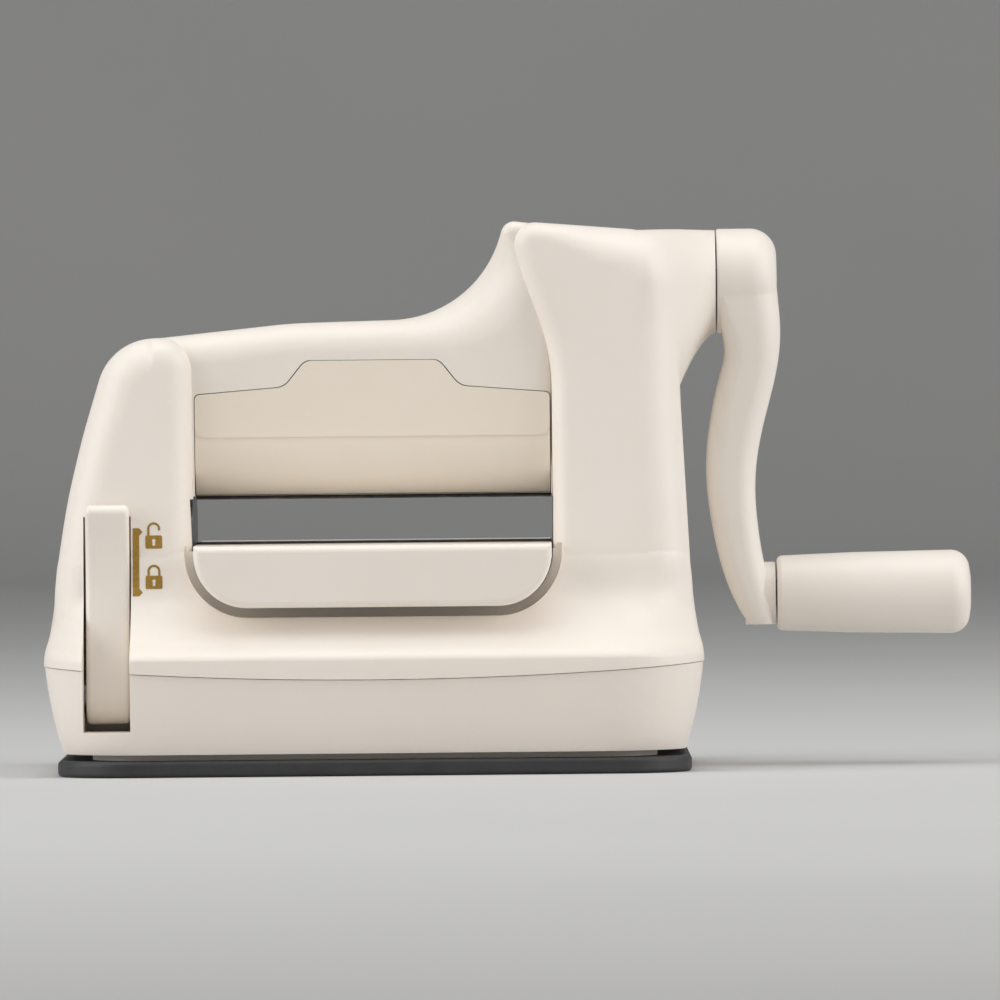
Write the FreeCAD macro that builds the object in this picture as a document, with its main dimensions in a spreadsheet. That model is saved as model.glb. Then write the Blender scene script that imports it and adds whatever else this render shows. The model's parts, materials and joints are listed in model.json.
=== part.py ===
"""Hand-cranked mini die cutting machine: housing, roller frame, gear train,
crank and the suction base with its locking lever."""
import FreeCAD, Part
import math
import os
import Sketcher

Vector = FreeCAD.Vector
doc = FreeCAD.newDocument("die_cutting_machine")
sheet = doc.addObject("Spreadsheet::Sheet", "dims")


class Size:
    """A length with its value and the sheet expression that gives it."""

    def __init__(self, value, text):
        self.value = value
        self.text = text

    def join(self, other, sign, value, swap=False):
        first, second = self.text, text_of(other)
        if swap:
            first, second = second, first
        return Size(value, f"({first} {sign} {second})")

    def __add__(self, other):
        return self.join(other, "+", self.value + value_of(other))

    def __radd__(self, other):
        return self.join(other, "+", value_of(other) + self.value, True)

    def __sub__(self, other):
        return self.join(other, "-", self.value - value_of(other))

    def __rsub__(self, other):
        return self.join(other, "-", value_of(other) - self.value, True)

    def __mul__(self, other):
        return self.join(other, "*", self.value * value_of(other))

    def __rmul__(self, other):
        return self.join(other, "*", value_of(other) * self.value, True)

    def __truediv__(self, other):
        return self.join(other, "/", self.value / value_of(other))

    def __neg__(self):
        return Size(-self.value, f"(0 - {self.text})")


def fixed(length):
    """A length of its own, for the places that take a Size."""
    return Size(float(length), repr(float(length)))


def smaller(first, second):
    return Size(min(first.value, second.value), f"min({first.text}; {second.text})")


def value_of(length):
    return length.value if isinstance(length, Size) else float(length)


def text_of(length):
    return length.text if isinstance(length, Size) else repr(float(length))


row = 0


def driving(alias, value):
    """Put one driving dimension in the sheet and give it back as a Size."""
    global row
    row += 1
    sheet.set(f"A{row}", alias)
    sheet.set(f"B{row}", str(value))
    sheet.setAlias(f"B{row}", alias)
    return Size(float(value), f"dims.{alias}")


# Housing, overall.
body_width = driving("body_width", 148)
body_depth = driving("body_depth", 104)
seam_height = driving("seam_height", 24.5)
seam_dip = driving("seam_dip", 3.1)
seam_gap = driving("seam_gap", 0.14)
base_underside = driving("base_underside", 5.0)
base_taper = driving("base_taper", 4.2)
base_corner = driving("base_corner", 21)
wall = driving("wall", 2.6)
feed_half = driving("feed_half_width", 40.4)
column_depth_low = driving("column_half_depth_low", 34)
column_depth_top = driving("column_half_depth_top", 26)
roof_depth = driving("roof_half_depth", 23.5)
# Suction pad and the plate above it.
pad_thickness = driving("pad_thickness", 3.6)
pad_corner = driving("pad_corner", 16)
pad_margin = driving("pad_margin", 3.0)
plate_inset = driving("bottom_plate_inset", 10.7)
# Rollers and gears.
lower_height = driving("lower_roller_height", 40.75)
roller_radius = driving("roller_radius", 11)
journal_radius = driving("journal_radius", 5)
tooth_module = driving("tooth_module", 1.5)
roller_teeth = driving("roller_gear_teeth", 21)
idler_teeth = driving("idler_gear_teeth", 10)
crank_teeth = driving("crank_gear_teeth", 9)
gear_width = driving("gear_width", 10)
side_sheet = driving("side_plate_thickness", 3)
running_gap = driving("running_clearance", 0.05)
# Crank, grip and lever.
crank_reach = driving("crank_reach", 70.85)
hub_radius = driving("hub_radius", 11.8)
shaft_radius = driving("shaft_radius", 4)
grip_length = driving("grip_length", 43.9)
grip_radius = driving("grip_radius", 8.45)
lever_width = driving("lever_width", 9.8)
lever_height = driving("lever_height", 44)
lever_pivot_height = driving("lever_pivot_height", 18)
eccentric = driving("eccentric_offset", 5.9)
screw_radius = driving("screw_radius", 1.5)

half_width = body_width / 2
half_depth = body_depth / 2
upper_height = lower_height + tooth_module * roller_teeth
idler_height = upper_height + tooth_module * (roller_teeth + idler_teeth) / 2
crank_height = idler_height + tooth_module * (idler_teeth + crank_teeth) / 2
floor_top = base_underside + wall
plate_inner = feed_half + 0.2
plate_outer = plate_inner + side_sheet
gear_start = plate_outer + 2.9
gear_end = gear_start + gear_width
gear_plate_inner = gear_end + 3.5
gear_plate_outer = gear_plate_inner + 2.5
boss_face = half_width + 3.7
roof_top = upper_height + 28.6
column_top = crank_height + 13.2
bed_top = lower_height + roller_radius - 0.45
guard_low = upper_height - roller_radius + 1.05
lever_left = -half_width + 9.6
lever_right = lever_left + lever_width
lever_axis_depth = -smaller(column_depth_low - 1, half_depth - 15)

doc.recompute()
pieces = {}
PLANE_TURN = {
    "XY": FreeCAD.Rotation(),
    "XZ": FreeCAD.Rotation(Vector(1, 0, 0), 90),
    "YZ": FreeCAD.Rotation(Vector(1, 1, 1), 120),
}


def bind(thing, prop, length):
    """Bind a property to the sheet, or set it where the length is plain."""
    if isinstance(length, Size):
        thing.setExpression(prop, length.text)
    else:
        thing.setExpression(prop, repr(float(length)))


def corner_cut(before, corner, after, radius):
    """The two tangent points and the centre of a rounded corner."""
    back = (before - corner).normalize()
    ahead = (after - corner).normalize()
    angle = back.getAngle(ahead)
    reach = radius / math.tan(angle / 2) if radius else 0.0
    start = corner + back * reach
    end = corner + ahead * reach
    if not radius:
        return start, end, None, True
    centre = corner + (back + ahead).normalize() * (radius / math.sin(angle / 2))
    return start, end, centre, ahead.cross(back).z > 0


def draw_polygon(sketch, corners):
    """Add a closed outline of corners (x, y) or (x, y, radius) to a sketch,
    with every corner and radius held by a constraint bound to the sheet."""
    points = [Vector(value_of(c[0]), value_of(c[1]), 0) for c in corners]
    radii = [c[2] if len(c) > 2 else 0 for c in corners]
    count = len(points)
    cuts = []
    for i in range(count):
        nxt = points[(i + 1) % count]
        cuts.append(corner_cut(points[i - 1], points[i], nxt, value_of(radii[i])))
    first = sketch.GeometryCount
    shapes = []
    for i in range(count):
        shapes.append(Part.LineSegment(cuts[i][1], cuts[(i + 1) % count][0]))
    arcs = {}
    for i in range(count):
        start, end, centre, left_turn = cuts[i]
        if centre is None:
            continue
        begin = math.atan2(start.y - centre.y, start.x - centre.x)
        finish = math.atan2(end.y - centre.y, end.x - centre.x)
        if not left_turn:
            begin, finish = finish, begin
        circle = Part.Circle(centre, Vector(0, 0, 1), value_of(radii[i]))
        arcs[i] = first + len(shapes)
        shapes.append(Part.ArcOfCircle(circle, begin, finish))
    sketch.addGeometry(shapes, False)
    marks = {}
    for i in arcs:
        marks[i] = sketch.addGeometry(Part.Point(points[i]), True)
    limits = []
    bound = []
    for i in range(count):
        before = first + (i - 1) % count
        after = first + i
        holder, spot = after, 1
        if i in arcs:
            near, far = (1, 2) if cuts[i][3] else (2, 1)
            limits.append(Sketcher.Constraint("Tangent", before, 2, arcs[i], near))
            limits.append(Sketcher.Constraint("Tangent", arcs[i], far, after, 1))
            limits.append(Sketcher.Constraint("PointOnObject", marks[i], 1, before))
            limits.append(Sketcher.Constraint("PointOnObject", marks[i], 1, after))
            bound.append((len(limits), radii[i]))
            limits.append(Sketcher.Constraint("Radius", arcs[i], value_of(radii[i])))
            holder = marks[i]
        else:
            limits.append(Sketcher.Constraint("Coincident", before, 2, after, 1))
        bound.append((len(limits), corners[i][0]))
        limits.append(Sketcher.Constraint("DistanceX", holder, spot, points[i].x))
        bound.append((len(limits), corners[i][1]))
        limits.append(Sketcher.Constraint("DistanceY", holder, spot, points[i].y))
    name_limits(sketch, limits, bound)


def draw_circle(sketch, x, y, radius):
    """Add one circle to a sketch, its centre and radius bound to the sheet."""
    centre = Vector(value_of(x), value_of(y), 0)
    ring = sketch.addGeometry(Part.Circle(centre, Vector(0, 0, 1), value_of(radius)), False)
    limits = [
        Sketcher.Constraint("Radius", ring, value_of(radius)),
        Sketcher.Constraint("DistanceX", ring, 3, centre.x),
        Sketcher.Constraint("DistanceY", ring, 3, centre.y),
    ]
    name_limits(sketch, limits, [(0, radius), (1, x), (2, y)])


def name_limits(sketch, limits, bound):
    base = sketch.ConstraintCount
    sketch.addConstraint(limits)
    for place, length in bound:
        if isinstance(length, Size):
            label = f"size_{base + place}"
            sketch.renameConstraint(base + place, label)
            sketch.setExpression(f"Constraints.{label}", length.text)


def outline(name, plane, loops, along=0, body=None):
    """A sketch on a main plane, moved along the plane's normal."""
    if body is None:
        sketch = doc.addObject("Sketcher::SketchObject", name)
        sketch.Placement = FreeCAD.Placement(Vector(), PLANE_TURN[plane])
        axis = {"XY": "z", "XZ": "y", "YZ": "x"}[plane]
        shift = -along if plane == "XZ" else along
        bind(sketch, f"Placement.Base.{axis}", shift)
    else:
        sketch = body.newObject("Sketcher::SketchObject", name)
        support = [f for f in body.Origin.OriginFeatures if f.Role == f"{plane}_Plane"][0]
        sketch.AttachmentSupport = [(support, "")]
        sketch.MapMode = "FlatFace"
        bind(sketch, "AttachmentOffset.Base.z", along)
    for loop in loops:
        if loop[0] == "circle":
            draw_circle(sketch, *loop[1:])
        else:
            draw_polygon(sketch, loop)
    return sketch


def box_loop(left, right, low, high, radius=0):
    corners = [(left, low), (right, low), (right, high), (left, high)]
    return [c + (radius,) for c in corners] if value_of(radius) else corners


def extrude(sketch, length):
    """A solid from a sketch, along its normal."""
    solid = doc.addObject("Part::Extrusion", sketch.Name + "_solid")
    solid.Base = sketch
    solid.DirMode = "Normal"
    solid.Solid = True
    bind(solid, "LengthFwd", length)
    return solid


def block(name, x_range, y_range, z_range, radius=0):
    """A box with corners rounded in plan."""
    loop = box_loop(x_range[0], x_range[1], y_range[0], y_range[1], radius)
    sketch = outline(name, "XY", [loop], z_range[0])
    return extrude(sketch, z_range[1] - z_range[0])


def bar_along(name, axis, first, second, radius, span):
    """A round bar along X, Y or Z, centred on (first, second)."""
    plane = {"X": "YZ", "Y": "XZ", "Z": "XY"}[axis]
    start = -span[1] if axis == "Y" else span[0]
    sketch = outline(name, plane, [("circle", first, second, radius)], start)
    return extrude(sketch, span[1] - span[0])


def boolean(kind, name, parts):
    joined = doc.addObject(f"Part::{kind}", name)
    if kind == "Cut":
        joined.Base, joined.Tool = parts
    else:
        joined.Shapes = parts
    return joined


def fuse(name, parts):
    return boolean("MultiFuse", name, parts)


def common(name, parts):
    return boolean("MultiCommon", name, parts)


def cut(name, base, tools):
    tool = tools[0] if len(tools) == 1 else fuse(name + "_tools", tools)
    return boolean("Cut", name, [base, tool])


def keep(label, thing):
    thing.Label = label
    pieces[label] = thing
    return thing


def new_body(label):
    body = doc.addObject("PartDesign::Body", label)
    return keep(label, body)


def pad(body, name, plane, loops, along, length):
    sketch = outline(name + "_sketch", plane, loops, along, body)
    feature = body.newObject("PartDesign::Pad", name)
    feature.Profile = sketch
    bind(feature, "Length", length)
    return feature


def pocket(body, name, plane, loops, along, length):
    """Cut from the sketch along its normal."""
    sketch = outline(name + "_sketch", plane, loops, along, body)
    feature = body.newObject("PartDesign::Pocket", name)
    feature.Profile = sketch
    feature.Reversed = True
    bind(feature, "Length", length)
    return feature


def revolve_x(body, name, height, corners):
    """Turn an outline of (x, radius) corners about an axis along X."""
    lifted = [(c[0], c[1] + height) + tuple(c[2:]) for c in corners]
    sketch = outline(name + "_sketch", "XZ", [lifted], 0, body)
    axis = sketch.addGeometry(
        Part.LineSegment(Vector(0, value_of(height), 0), Vector(10, value_of(height), 0)), True
    )
    limits = [
        Sketcher.Constraint("Horizontal", axis),
        Sketcher.Constraint("DistanceX", axis, 1, 0.0),
        Sketcher.Constraint("DistanceX", axis, 2, 10.0),
        Sketcher.Constraint("DistanceY", axis, 1, value_of(height)),
    ]
    name_limits(sketch, limits, [(3, height)])
    feature = body.newObject("PartDesign::Revolution", name)
    feature.Profile = sketch
    feature.ReferenceAxis = (sketch, ["Axis0"])
    feature.Angle = 360
    return feature


def round_edges(solid, name, radius_at):
    """Round the edges of a solid that radius_at gives a radius to."""
    doc.recompute()
    entries = []
    for i, edge in enumerate(solid.Shape.Edges):
        radius = radius_at(edge)
        if radius:
            entries.append((i + 1, radius[0], radius[1]))
    rounded = doc.addObject("Part::Fillet", name)
    rounded.Base = solid
    rounded.Edges = entries
    return rounded


def round_rims(body, name, radius, on_rim):
    """Round the edges of a body's last feature that on_rim picks by points."""
    doc.recompute()
    plain = body.Tip
    rims = []
    for i, edge in enumerate(plain.Shape.Edges):
        middle = edge.valueAt((edge.FirstParameter + edge.LastParameter) / 2)
        if all(on_rim(spot) for spot in [middle] + [v.Point for v in edge.Vertexes]):
            rims.append(f"Edge{i + 1}")
    rim = body.newObject("PartDesign::Fillet", name)
    rim.Base = (plain, rims)
    rim.Radius = radius
    body.Tip = rim
    return rim




def section(name, height, wide, deep, corner, inset):
    loop = box_loop(-(wide - inset), wide - inset, -(deep - inset), deep - inset, corner - inset)
    return outline(name, "XY", [loop], height)


def loft(name, sections):
    skin = doc.addObject("Part::Loft", name)
    skin.Sections = sections
    skin.Solid = True
    return skin


column_ground = seam_height - 6
column_high = column_top + 1.8


def column_depth_at(height):
    """Half the depth of the columns at a height; they lean in to the top."""
    part = (height - column_ground) / (column_high - column_ground)
    return column_depth_low - (column_depth_low - column_depth_top) * part


def skirt_form(tag, inset):
    """The lower part of the upper housing, flaring out to the seam; it ends
    just inside the columns."""
    levels = [
        (1.2, 0, 0, 0), (2.5, 0.1, 0.038, 0), (5.2, 0.7, 0.298, 1), (9.3, 1.5, 0.617, 3),
        (14, 2.1, 0.861, 6), (20, 2.6, 0.966, 10.5), (25.5, 3.7, 1.015, 12),
    ]
    sections = []
    for i, (rise, narrower, part, tighter) in enumerate(levels):
        height = seam_height + rise
        deep = half_depth - (half_depth - column_depth_at(height)) * part
        sections.append(section(
            f"{tag}_skirt_{i}", height, half_width - narrower, deep, base_corner - tighter, inset))
    rim = section(f"{tag}_rim", seam_height - 6.5, half_width, half_depth, base_corner, inset)
    return fuse(f"{tag}_skirt_form", [extrude(rim, fixed(7.7)), loft(f"{tag}_skirt", sections)])


def inset_corners(corners, inset):
    """The corners of an anticlockwise outline moved in by a wall thickness."""
    points = [Vector(value_of(c[0]), value_of(c[1]), 0) for c in corners]
    moved = []
    for i, corner in enumerate(points):
        into = (corner - points[i - 1]).normalize()
        out = (points[(i + 1) % len(points)] - corner).normalize()
        turn = into.cross(out).z
        left = Vector(-into.y, into.x, 0)
        bisector = (left + Vector(-out.y, out.x, 0)).normalize()
        spot = corner + bisector * (inset / bisector.dot(left))
        radius = value_of(corners[i][2]) if len(corners[i]) > 2 else 0
        if radius:
            radius = radius - inset if turn > 0 else radius + inset
        moved.append((spot.x, spot.y, max(radius, 0.5)) if radius else (spot.x, spot.y))
    return moved


def depth_profile(name, low, high, deep_low, deep_high):
    return outline(name, "YZ", [[(-deep_low, low), (deep_low, low), (deep_high, high), (-deep_high, high)]])


def profile_form(tag, corners, inset, deep_low, deep_high, low, high, radius):
    """A front outline carried through the depth, its front and rear rims
    rounded; inset gives the matching cavity."""
    if value_of(inset):
        corners = inset_corners(corners, value_of(inset))
    face = outline(f"{tag}_front", "XZ", [corners])
    through = doc.addObject("Part::Extrusion", f"{tag}_through")
    through.Base = face
    through.DirMode = "Custom"
    through.Dir = Vector(0, 1, 0)
    through.Solid = True
    through.Symmetric = True
    bind(through, "LengthFwd", 4 * deep_low)
    side = depth_profile(f"{tag}_side", low, high, deep_low - inset, deep_high - inset)
    across = doc.addObject("Part::Extrusion", f"{tag}_across")
    across.Base = side
    across.DirMode = "Normal"
    across.Solid = True
    across.Symmetric = True
    bind(across, "LengthFwd", 4 * half_width)
    form = common(f"{tag}_form", [through, across])
    doc.recompute()
    slope = (value_of(deep_high) - value_of(deep_low)) / (value_of(high) - value_of(low))
    ground = value_of(low)

    def rim_radius(edge):
        ends = []
        for vertex in (edge.firstVertex(), edge.lastVertex()):
            spot = vertex.Point
            rim = value_of(deep_low) - value_of(inset) + slope * (spot.z - ground)
            if abs(abs(spot.y) - rim) > 0.01:
                return None
            ends.append(max(radius(spot) - value_of(inset), 0.4))
        middle = edge.valueAt((edge.FirstParameter + edge.LastParameter) / 2)
        if abs(abs(middle.y) - (value_of(deep_low) - value_of(inset) + slope * (middle.z - ground))) > 0.01:
            return None
        if middle.z < ground + value_of(inset) + 0.5:
            return None
        return ends
    return round_edges(form, f"{tag}_rounded", rim_radius)


def left_column(tag, inset):
    corners = [
        (-feed_half, column_ground), (-feed_half, roof_top - 2.3, 7.5),
        (-half_width + 15.2, roof_top - 3.6, 13), (-half_width + 8.8, roof_top - 24.9, 150),
        (-half_width + 5.25, roof_top - 39.4, 150), (-half_width + 2.45, roof_top - 57.4, 60),
        (-half_width + 1.3, column_ground),
    ]

    def rim(spot):
        beside = -value_of(feed_half) - spot.x
        if beside > 8.2:
            return 8.5
        return 6.5 if beside > 3.5 else 4.5

    return profile_form(
        tag, corners, inset, column_depth_low, column_depth_top, column_ground, column_high, rim)


def right_column(tag, inset):
    corners = [
        (feed_half, column_ground), (half_width - 1.4, column_ground),
        (half_width - 4.65, crank_height - 26, 80), (half_width - 5, column_top - 2.2, 12),
        (feed_half - 10, column_top + 0.75, 4.8),
        (feed_half - 6.5, crank_height + 2, 60), (feed_half, crank_height - 16, 45),
    ]
    return profile_form(
        tag, corners, inset, column_depth_low, column_depth_top, column_ground, column_high,
        lambda spot: 4.2 if spot.x < value_of(feed_half) + 3 else 10.0)


def roof(tag, inset):
    corners = [
        (-feed_half - 9.5, guard_low), (feed_half + 1.5, guard_low), (feed_half + 1.5, column_top - 0.6),
        (feed_half - 10.2, column_top + 0.75, 2.9), (feed_half - 17.1, roof_top + 1.15, 26),
        (-feed_half * 0.45, roof_top + 0.15, 90), (-feed_half - 9.5, roof_top - 3.1),
    ]

    def rim(spot):
        rise = spot.z - value_of(column_top)
        if spot.x < 24 or rise < -12:
            return 7.0
        return 2.4 if rise > -2.6 - 1.4 * value_of(inset) else 4.6

    return profile_form(
        tag, corners, inset, roof_depth, roof_depth - 0.01, guard_low, column_high, rim)


def boss_form():
    """The flare on the right column that carries the crank hub."""
    levels = [
        (-21.7, 44, 11.6, 28.6, 11), (-15.7, 38, 11.6, 27.6, 12), (-11.7, 31, 11.7, 25.2, 13),
        (-8, 23, 11.7, 20.6, 13), (-4, 15.6, 11.6, 15, 11.5), (0, 11.5, 11.5, 11.5, 11.45),
    ]
    sections = []
    for i, (shift, below, above, deep, corner) in enumerate(levels):
        grow = hub_radius - 11.8
        loop = box_loop(-(deep + grow), deep + grow, crank_height - below - grow,
                        crank_height + above + grow, corner + grow)
        sections.append(outline(f"boss_{i}", "YZ", [loop], boss_face + shift))
    return loft("boss_loft", sections)


far_front = -4 * half_depth
far_rear = 4 * half_depth


def lip_loop(grow):
    """The D outline of a feed lip, grown all round."""
    low = bed_top - 13.8 - grow
    reach = feed_half - 0.4 + grow
    return [(-reach, bed_top), (-reach, low, 12 + grow), (reach, low, 12 + grow), (reach, bed_top)]


def lip_band(name, side):
    """The shallow recess round a feed lip, front (-1) or rear (1)."""
    floor = column_depth_low - 4.2
    start = -far_rear if side < 0 else floor
    return extrude(outline(name, "XZ", [lip_loop(fixed(2.3))], start), far_rear - floor)


def seam_cutter(name, shift, up):
    """All that lies below the seam, or above it; the seam dips to the middle."""
    sweep = (half_width * half_width + seam_dip * seam_dip) / (2 * seam_dip)
    slope = 0.1
    lowest = seam_height - seam_dip - sweep * (math.sqrt(1 + slope * slope) - 1) + shift
    far = half_width + 36
    edge = lowest + slope * far
    limit = seam_height + 60 if up else base_underside - 40
    if up:
        loop = [(-far, edge), (0, lowest, sweep), (far, edge), (far, limit), (-far, limit)]
    else:
        loop = [(-far, edge), (-far, limit), (far, limit), (far, edge), (0, lowest, sweep)]
    sketch = outline(name, "XZ", [loop], -4 * half_depth)
    return extrude(sketch, 8 * half_depth)


lever_top = lever_pivot_height + lever_height - 1.4
slot_range = (lever_left - 0.55, lever_right + 0.35)
slot_top = lever_top - 2.6


def lever_pocket(tag, low, high):
    """The block of wall that the lever slot is cut in."""
    across = (slot_range[0] - wall, slot_range[1] + wall)
    return block(tag, across, (far_front, lever_axis_depth + 11), (low, high))


def lever_slot(tag):
    return block(tag, slot_range, (far_front, lever_axis_depth + 8.5), (base_underside + 5, slot_top))


# The shell screws, by their place in the front view.
shell_screw_spots = [
    (-half_width + 16, upper_height + 4), (-half_width + 23.6, seam_height + 9.5),
    (half_width - 9.5, upper_height - 13), (half_width - 9.5, seam_height + 9.5),
    (boss_face - 6.2, crank_height - 11.5),
]

outer_parts = [
    skirt_form("outer", 0), left_column("outer_left", 0), right_column("outer_right", 0),
    roof("outer_roof", 0), boss_form(),
]
outer_form = fuse("outer_form", outer_parts)
inner_parts = [
    skirt_form("inner", wall), left_column("inner_left", wall), right_column("inner_right", wall),
    roof("inner_roof", wall),
]
inner_form = fuse("inner_form", inner_parts)
hollow = boolean("Cut", "hollow_shell", [outer_form, inner_form])
lip_reach = feed_half + 4.6
posts = [lever_pocket("shell_pocket", seam_height - 6, slot_top + wall)]
lip_back = column_depth_low - 6.5
for side, depths in (("front", (far_front, -lip_back)), ("rear", (lip_back, far_rear))):
    posts.append(block(f"{side}_lip_wall", (-lip_reach, lip_reach), depths, (bed_top - 18.7, bed_top)))
for i, (x, z) in enumerate(shell_screw_spots):
    posts.append(bar_along(f"post_{i}", "Y", x, z, 3.8, (far_front, far_rear)))
post_form = common("post_form", [fuse("posts", posts), outer_form])
shell_whole = fuse("shell_whole", [hollow, post_form])
passage = [
    block("low_passage", (-plate_outer - 0.3, plate_outer + 0.3),
          (-(column_depth_low - 6.5), column_depth_low - 6.5), (seam_height - 6, guard_low - 0.6)),
    block("high_passage", (-plate_outer - 0.3, plate_outer + 0.3),
          (-(roof_depth - wall), roof_depth - wall), (guard_low - 1, roof_top - 6.6)),
    block("frame_opening", (feed_half - 2.9, plate_outer + 0.3), (-20, 20),
          (roof_top - 8, crank_height + 9.6)),
    block("gear_plate_room", (plate_outer, gear_plate_outer + 0.6), (-11.5, 11.5),
          (roof_top - 8, crank_height + 8.6)),
    extrude(outline("lip_recess", "XZ", [lip_loop(fixed(0.3))], far_front), far_rear - far_front),
    fuse("lip_bands", [lip_band("front_lip_band", -1), lip_band("rear_lip_band", 1)]),
]


def guard_loop(grow):
    """The outline of a roller guard, seen from the front."""
    reach = feed_half - 0.5 + grow
    return [
        (-reach, guard_low - 2), (reach, guard_low - 2), (reach, upper_height + 12.8 + grow, 1.2),
        (19.7 + grow, upper_height + 14.4 + grow, 4), (15 + grow, upper_height + 20.3 + grow, 3),
        (-15 - grow, upper_height + 20.3 + grow, 3), (-19.7 - grow, upper_height + 14.4 + grow, 4),
        (-reach, upper_height + 12.8 + grow, 1.2),
    ]


def guard_panel():
    """The flat panel of a guard, a little proud of the part that bends under."""
    reach = feed_half - 0.5
    foot = guard_low + 13.2
    return [(-reach, foot, 2.4), (reach, foot, 2.4)] + guard_loop(0)[2:]


guard_gap = fixed(0.15)
guard_cut = extrude(outline("guard_cut", "XZ", [guard_loop(guard_gap)], -4 * half_depth), 8 * half_depth)
roof_span = block("guard_span", (-feed_half - 1, feed_half + 1), (-roof_depth - 1, roof_depth + 1),
                  (guard_low - 3, upper_height + 24))
passage.append(common("guard_window", [guard_cut, roof_span]))
front_slot = lever_slot("shell_slot")
passage.append(front_slot)
passage.append(seam_cutter("below_seam", seam_gap, False))
passage.append(bar_along("shaft_hole", "X", fixed(0), crank_height, shaft_radius + 0.6,
                         (boss_face - 16, boss_face + 1)))
screw_tools = []
for i, (x, z) in enumerate(shell_screw_spots):
    screw_tools.append(bar_along(f"screw_hole_{i}", "Y", x, z, screw_radius, (-11, far_rear)))
    screw_tools.append(bar_along(f"screw_well_{i}", "Y", x, z, 3.2, (8, far_rear)))
passage.append(fuse("screw_tools", screw_tools))
whole_width = (-4 * half_width, 4 * half_width)
whole_height = (fixed(-10), column_top + 40)
front_half = block("front_half", whole_width, (far_front, fixed(0)), whole_height)
rear_half = block("rear_half", whole_width, (fixed(0), far_rear), whole_height)


def cut_each(label, base, tools):
    for i, tool in enumerate(tools):
        base = boolean("Cut", f"{label}_cut_{i}", [base, tool])
    return base


keep("front_shell", cut_each("front_shell", shell_whole, [rear_half] + passage))
rear_tools = [tool for tool in passage if tool is not front_slot]
keep("rear_shell", cut_each("rear_shell", shell_whole, [front_half] + rear_tools))


def tub_form(tag, inset, low):
    """The base tub's outside, or its hollow, with slightly bulging walls."""
    sections = []
    span = seam_height + 3 - base_underside
    for i, (part, narrower) in enumerate(((0, 1.0), (0.43, 0.4), (1, 0))):
        height = base_underside + span * part
        if i == 0:
            height = low
        sections.append(section(f"{tag}_{i}", height, half_width - base_taper * narrower,
                                half_depth - base_taper * narrower, base_corner - 2 * narrower, inset))
    return loft(f"{tag}_loft", sections)


tub_outer = tub_form("tub_outer", 0, base_underside)
tub_hollow = boolean("Cut", "tub_hollow", [tub_outer, tub_form("tub_inner", wall, floor_top)])
tub_pocket_block = lever_pocket("tub_pocket_block", base_underside, seam_height + 3)
tub_pocket = common("tub_pocket", [tub_pocket_block, tub_outer])
# Screws from below, by place: four for the side plates, three for the brackets.
foot_spot = plate_outer + 6
lever_bracket_spot = (fixed(13), lever_axis_depth)
bar_hinge_depth = half_depth - 16
floor_screw_spots = [(foot_spot, 15), (foot_spot, -15), (-foot_spot, 15), (-foot_spot, -15),
                     lever_bracket_spot, (fixed(5), bar_hinge_depth + 3), (fixed(-5), bar_hinge_depth + 3)]
tub_tools = [
    seam_cutter("above_seam", 0, True), lever_slot("tub_slot"),
    bar_along("stem_hole", "Z", fixed(0), fixed(0), 18.5, (base_underside - 2, floor_top + 1)),
    bar_along("lever_shaft_hole", "X", lever_axis_depth, lever_pivot_height, 3 + running_gap,
              (slot_range[0] - 2.1, slot_range[1] + wall + 1)),
]
for i, (x, y) in enumerate(floor_screw_spots):
    through = (base_underside - 1, floor_top + 1)
    tub_tools.append(bar_along(f"floor_hole_{i}", "Z", x, y, screw_radius, through))
keep("base_tub", cut_each("base_tub", fuse("tub_whole", [tub_hollow, tub_pocket]), tub_tools))

pad_x = half_width - pad_margin
pad_y = half_depth - pad_margin + 0.7
suction_pad = new_body("suction_pad")
pad(suction_pad, "pad_plate", "XY", [box_loop(-pad_x, pad_x, -pad_y, pad_y, pad_corner)], 0, pad_thickness)
round_rims(suction_pad, "pad_rim", 1.0,
           lambda spot: min(abs(spot.z), abs(spot.z - value_of(pad_thickness))) < 0.01)
pad(suction_pad, "pad_boss", "XY", [("circle", 0, 0, 17.5)], 0, pad_thickness + 2.9)
boss_top = pad_thickness + 2.9

bottom_plate = new_body("bottom_plate")
plate_x = half_width - plate_inset
plate_y = half_depth - plate_inset + 1
pad(bottom_plate, "plate", "XY", [box_loop(-plate_x, plate_x, -plate_y, plate_y, 13)], pad_thickness,
    base_underside - pad_thickness)
holes = [("circle", 0, 0, 18.5)] + [("circle", x, y, 3) for x, y in floor_screw_spots]
pocket(bottom_plate, "plate_holes", "XY", holes, pad_thickness - 1, 6)

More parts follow.
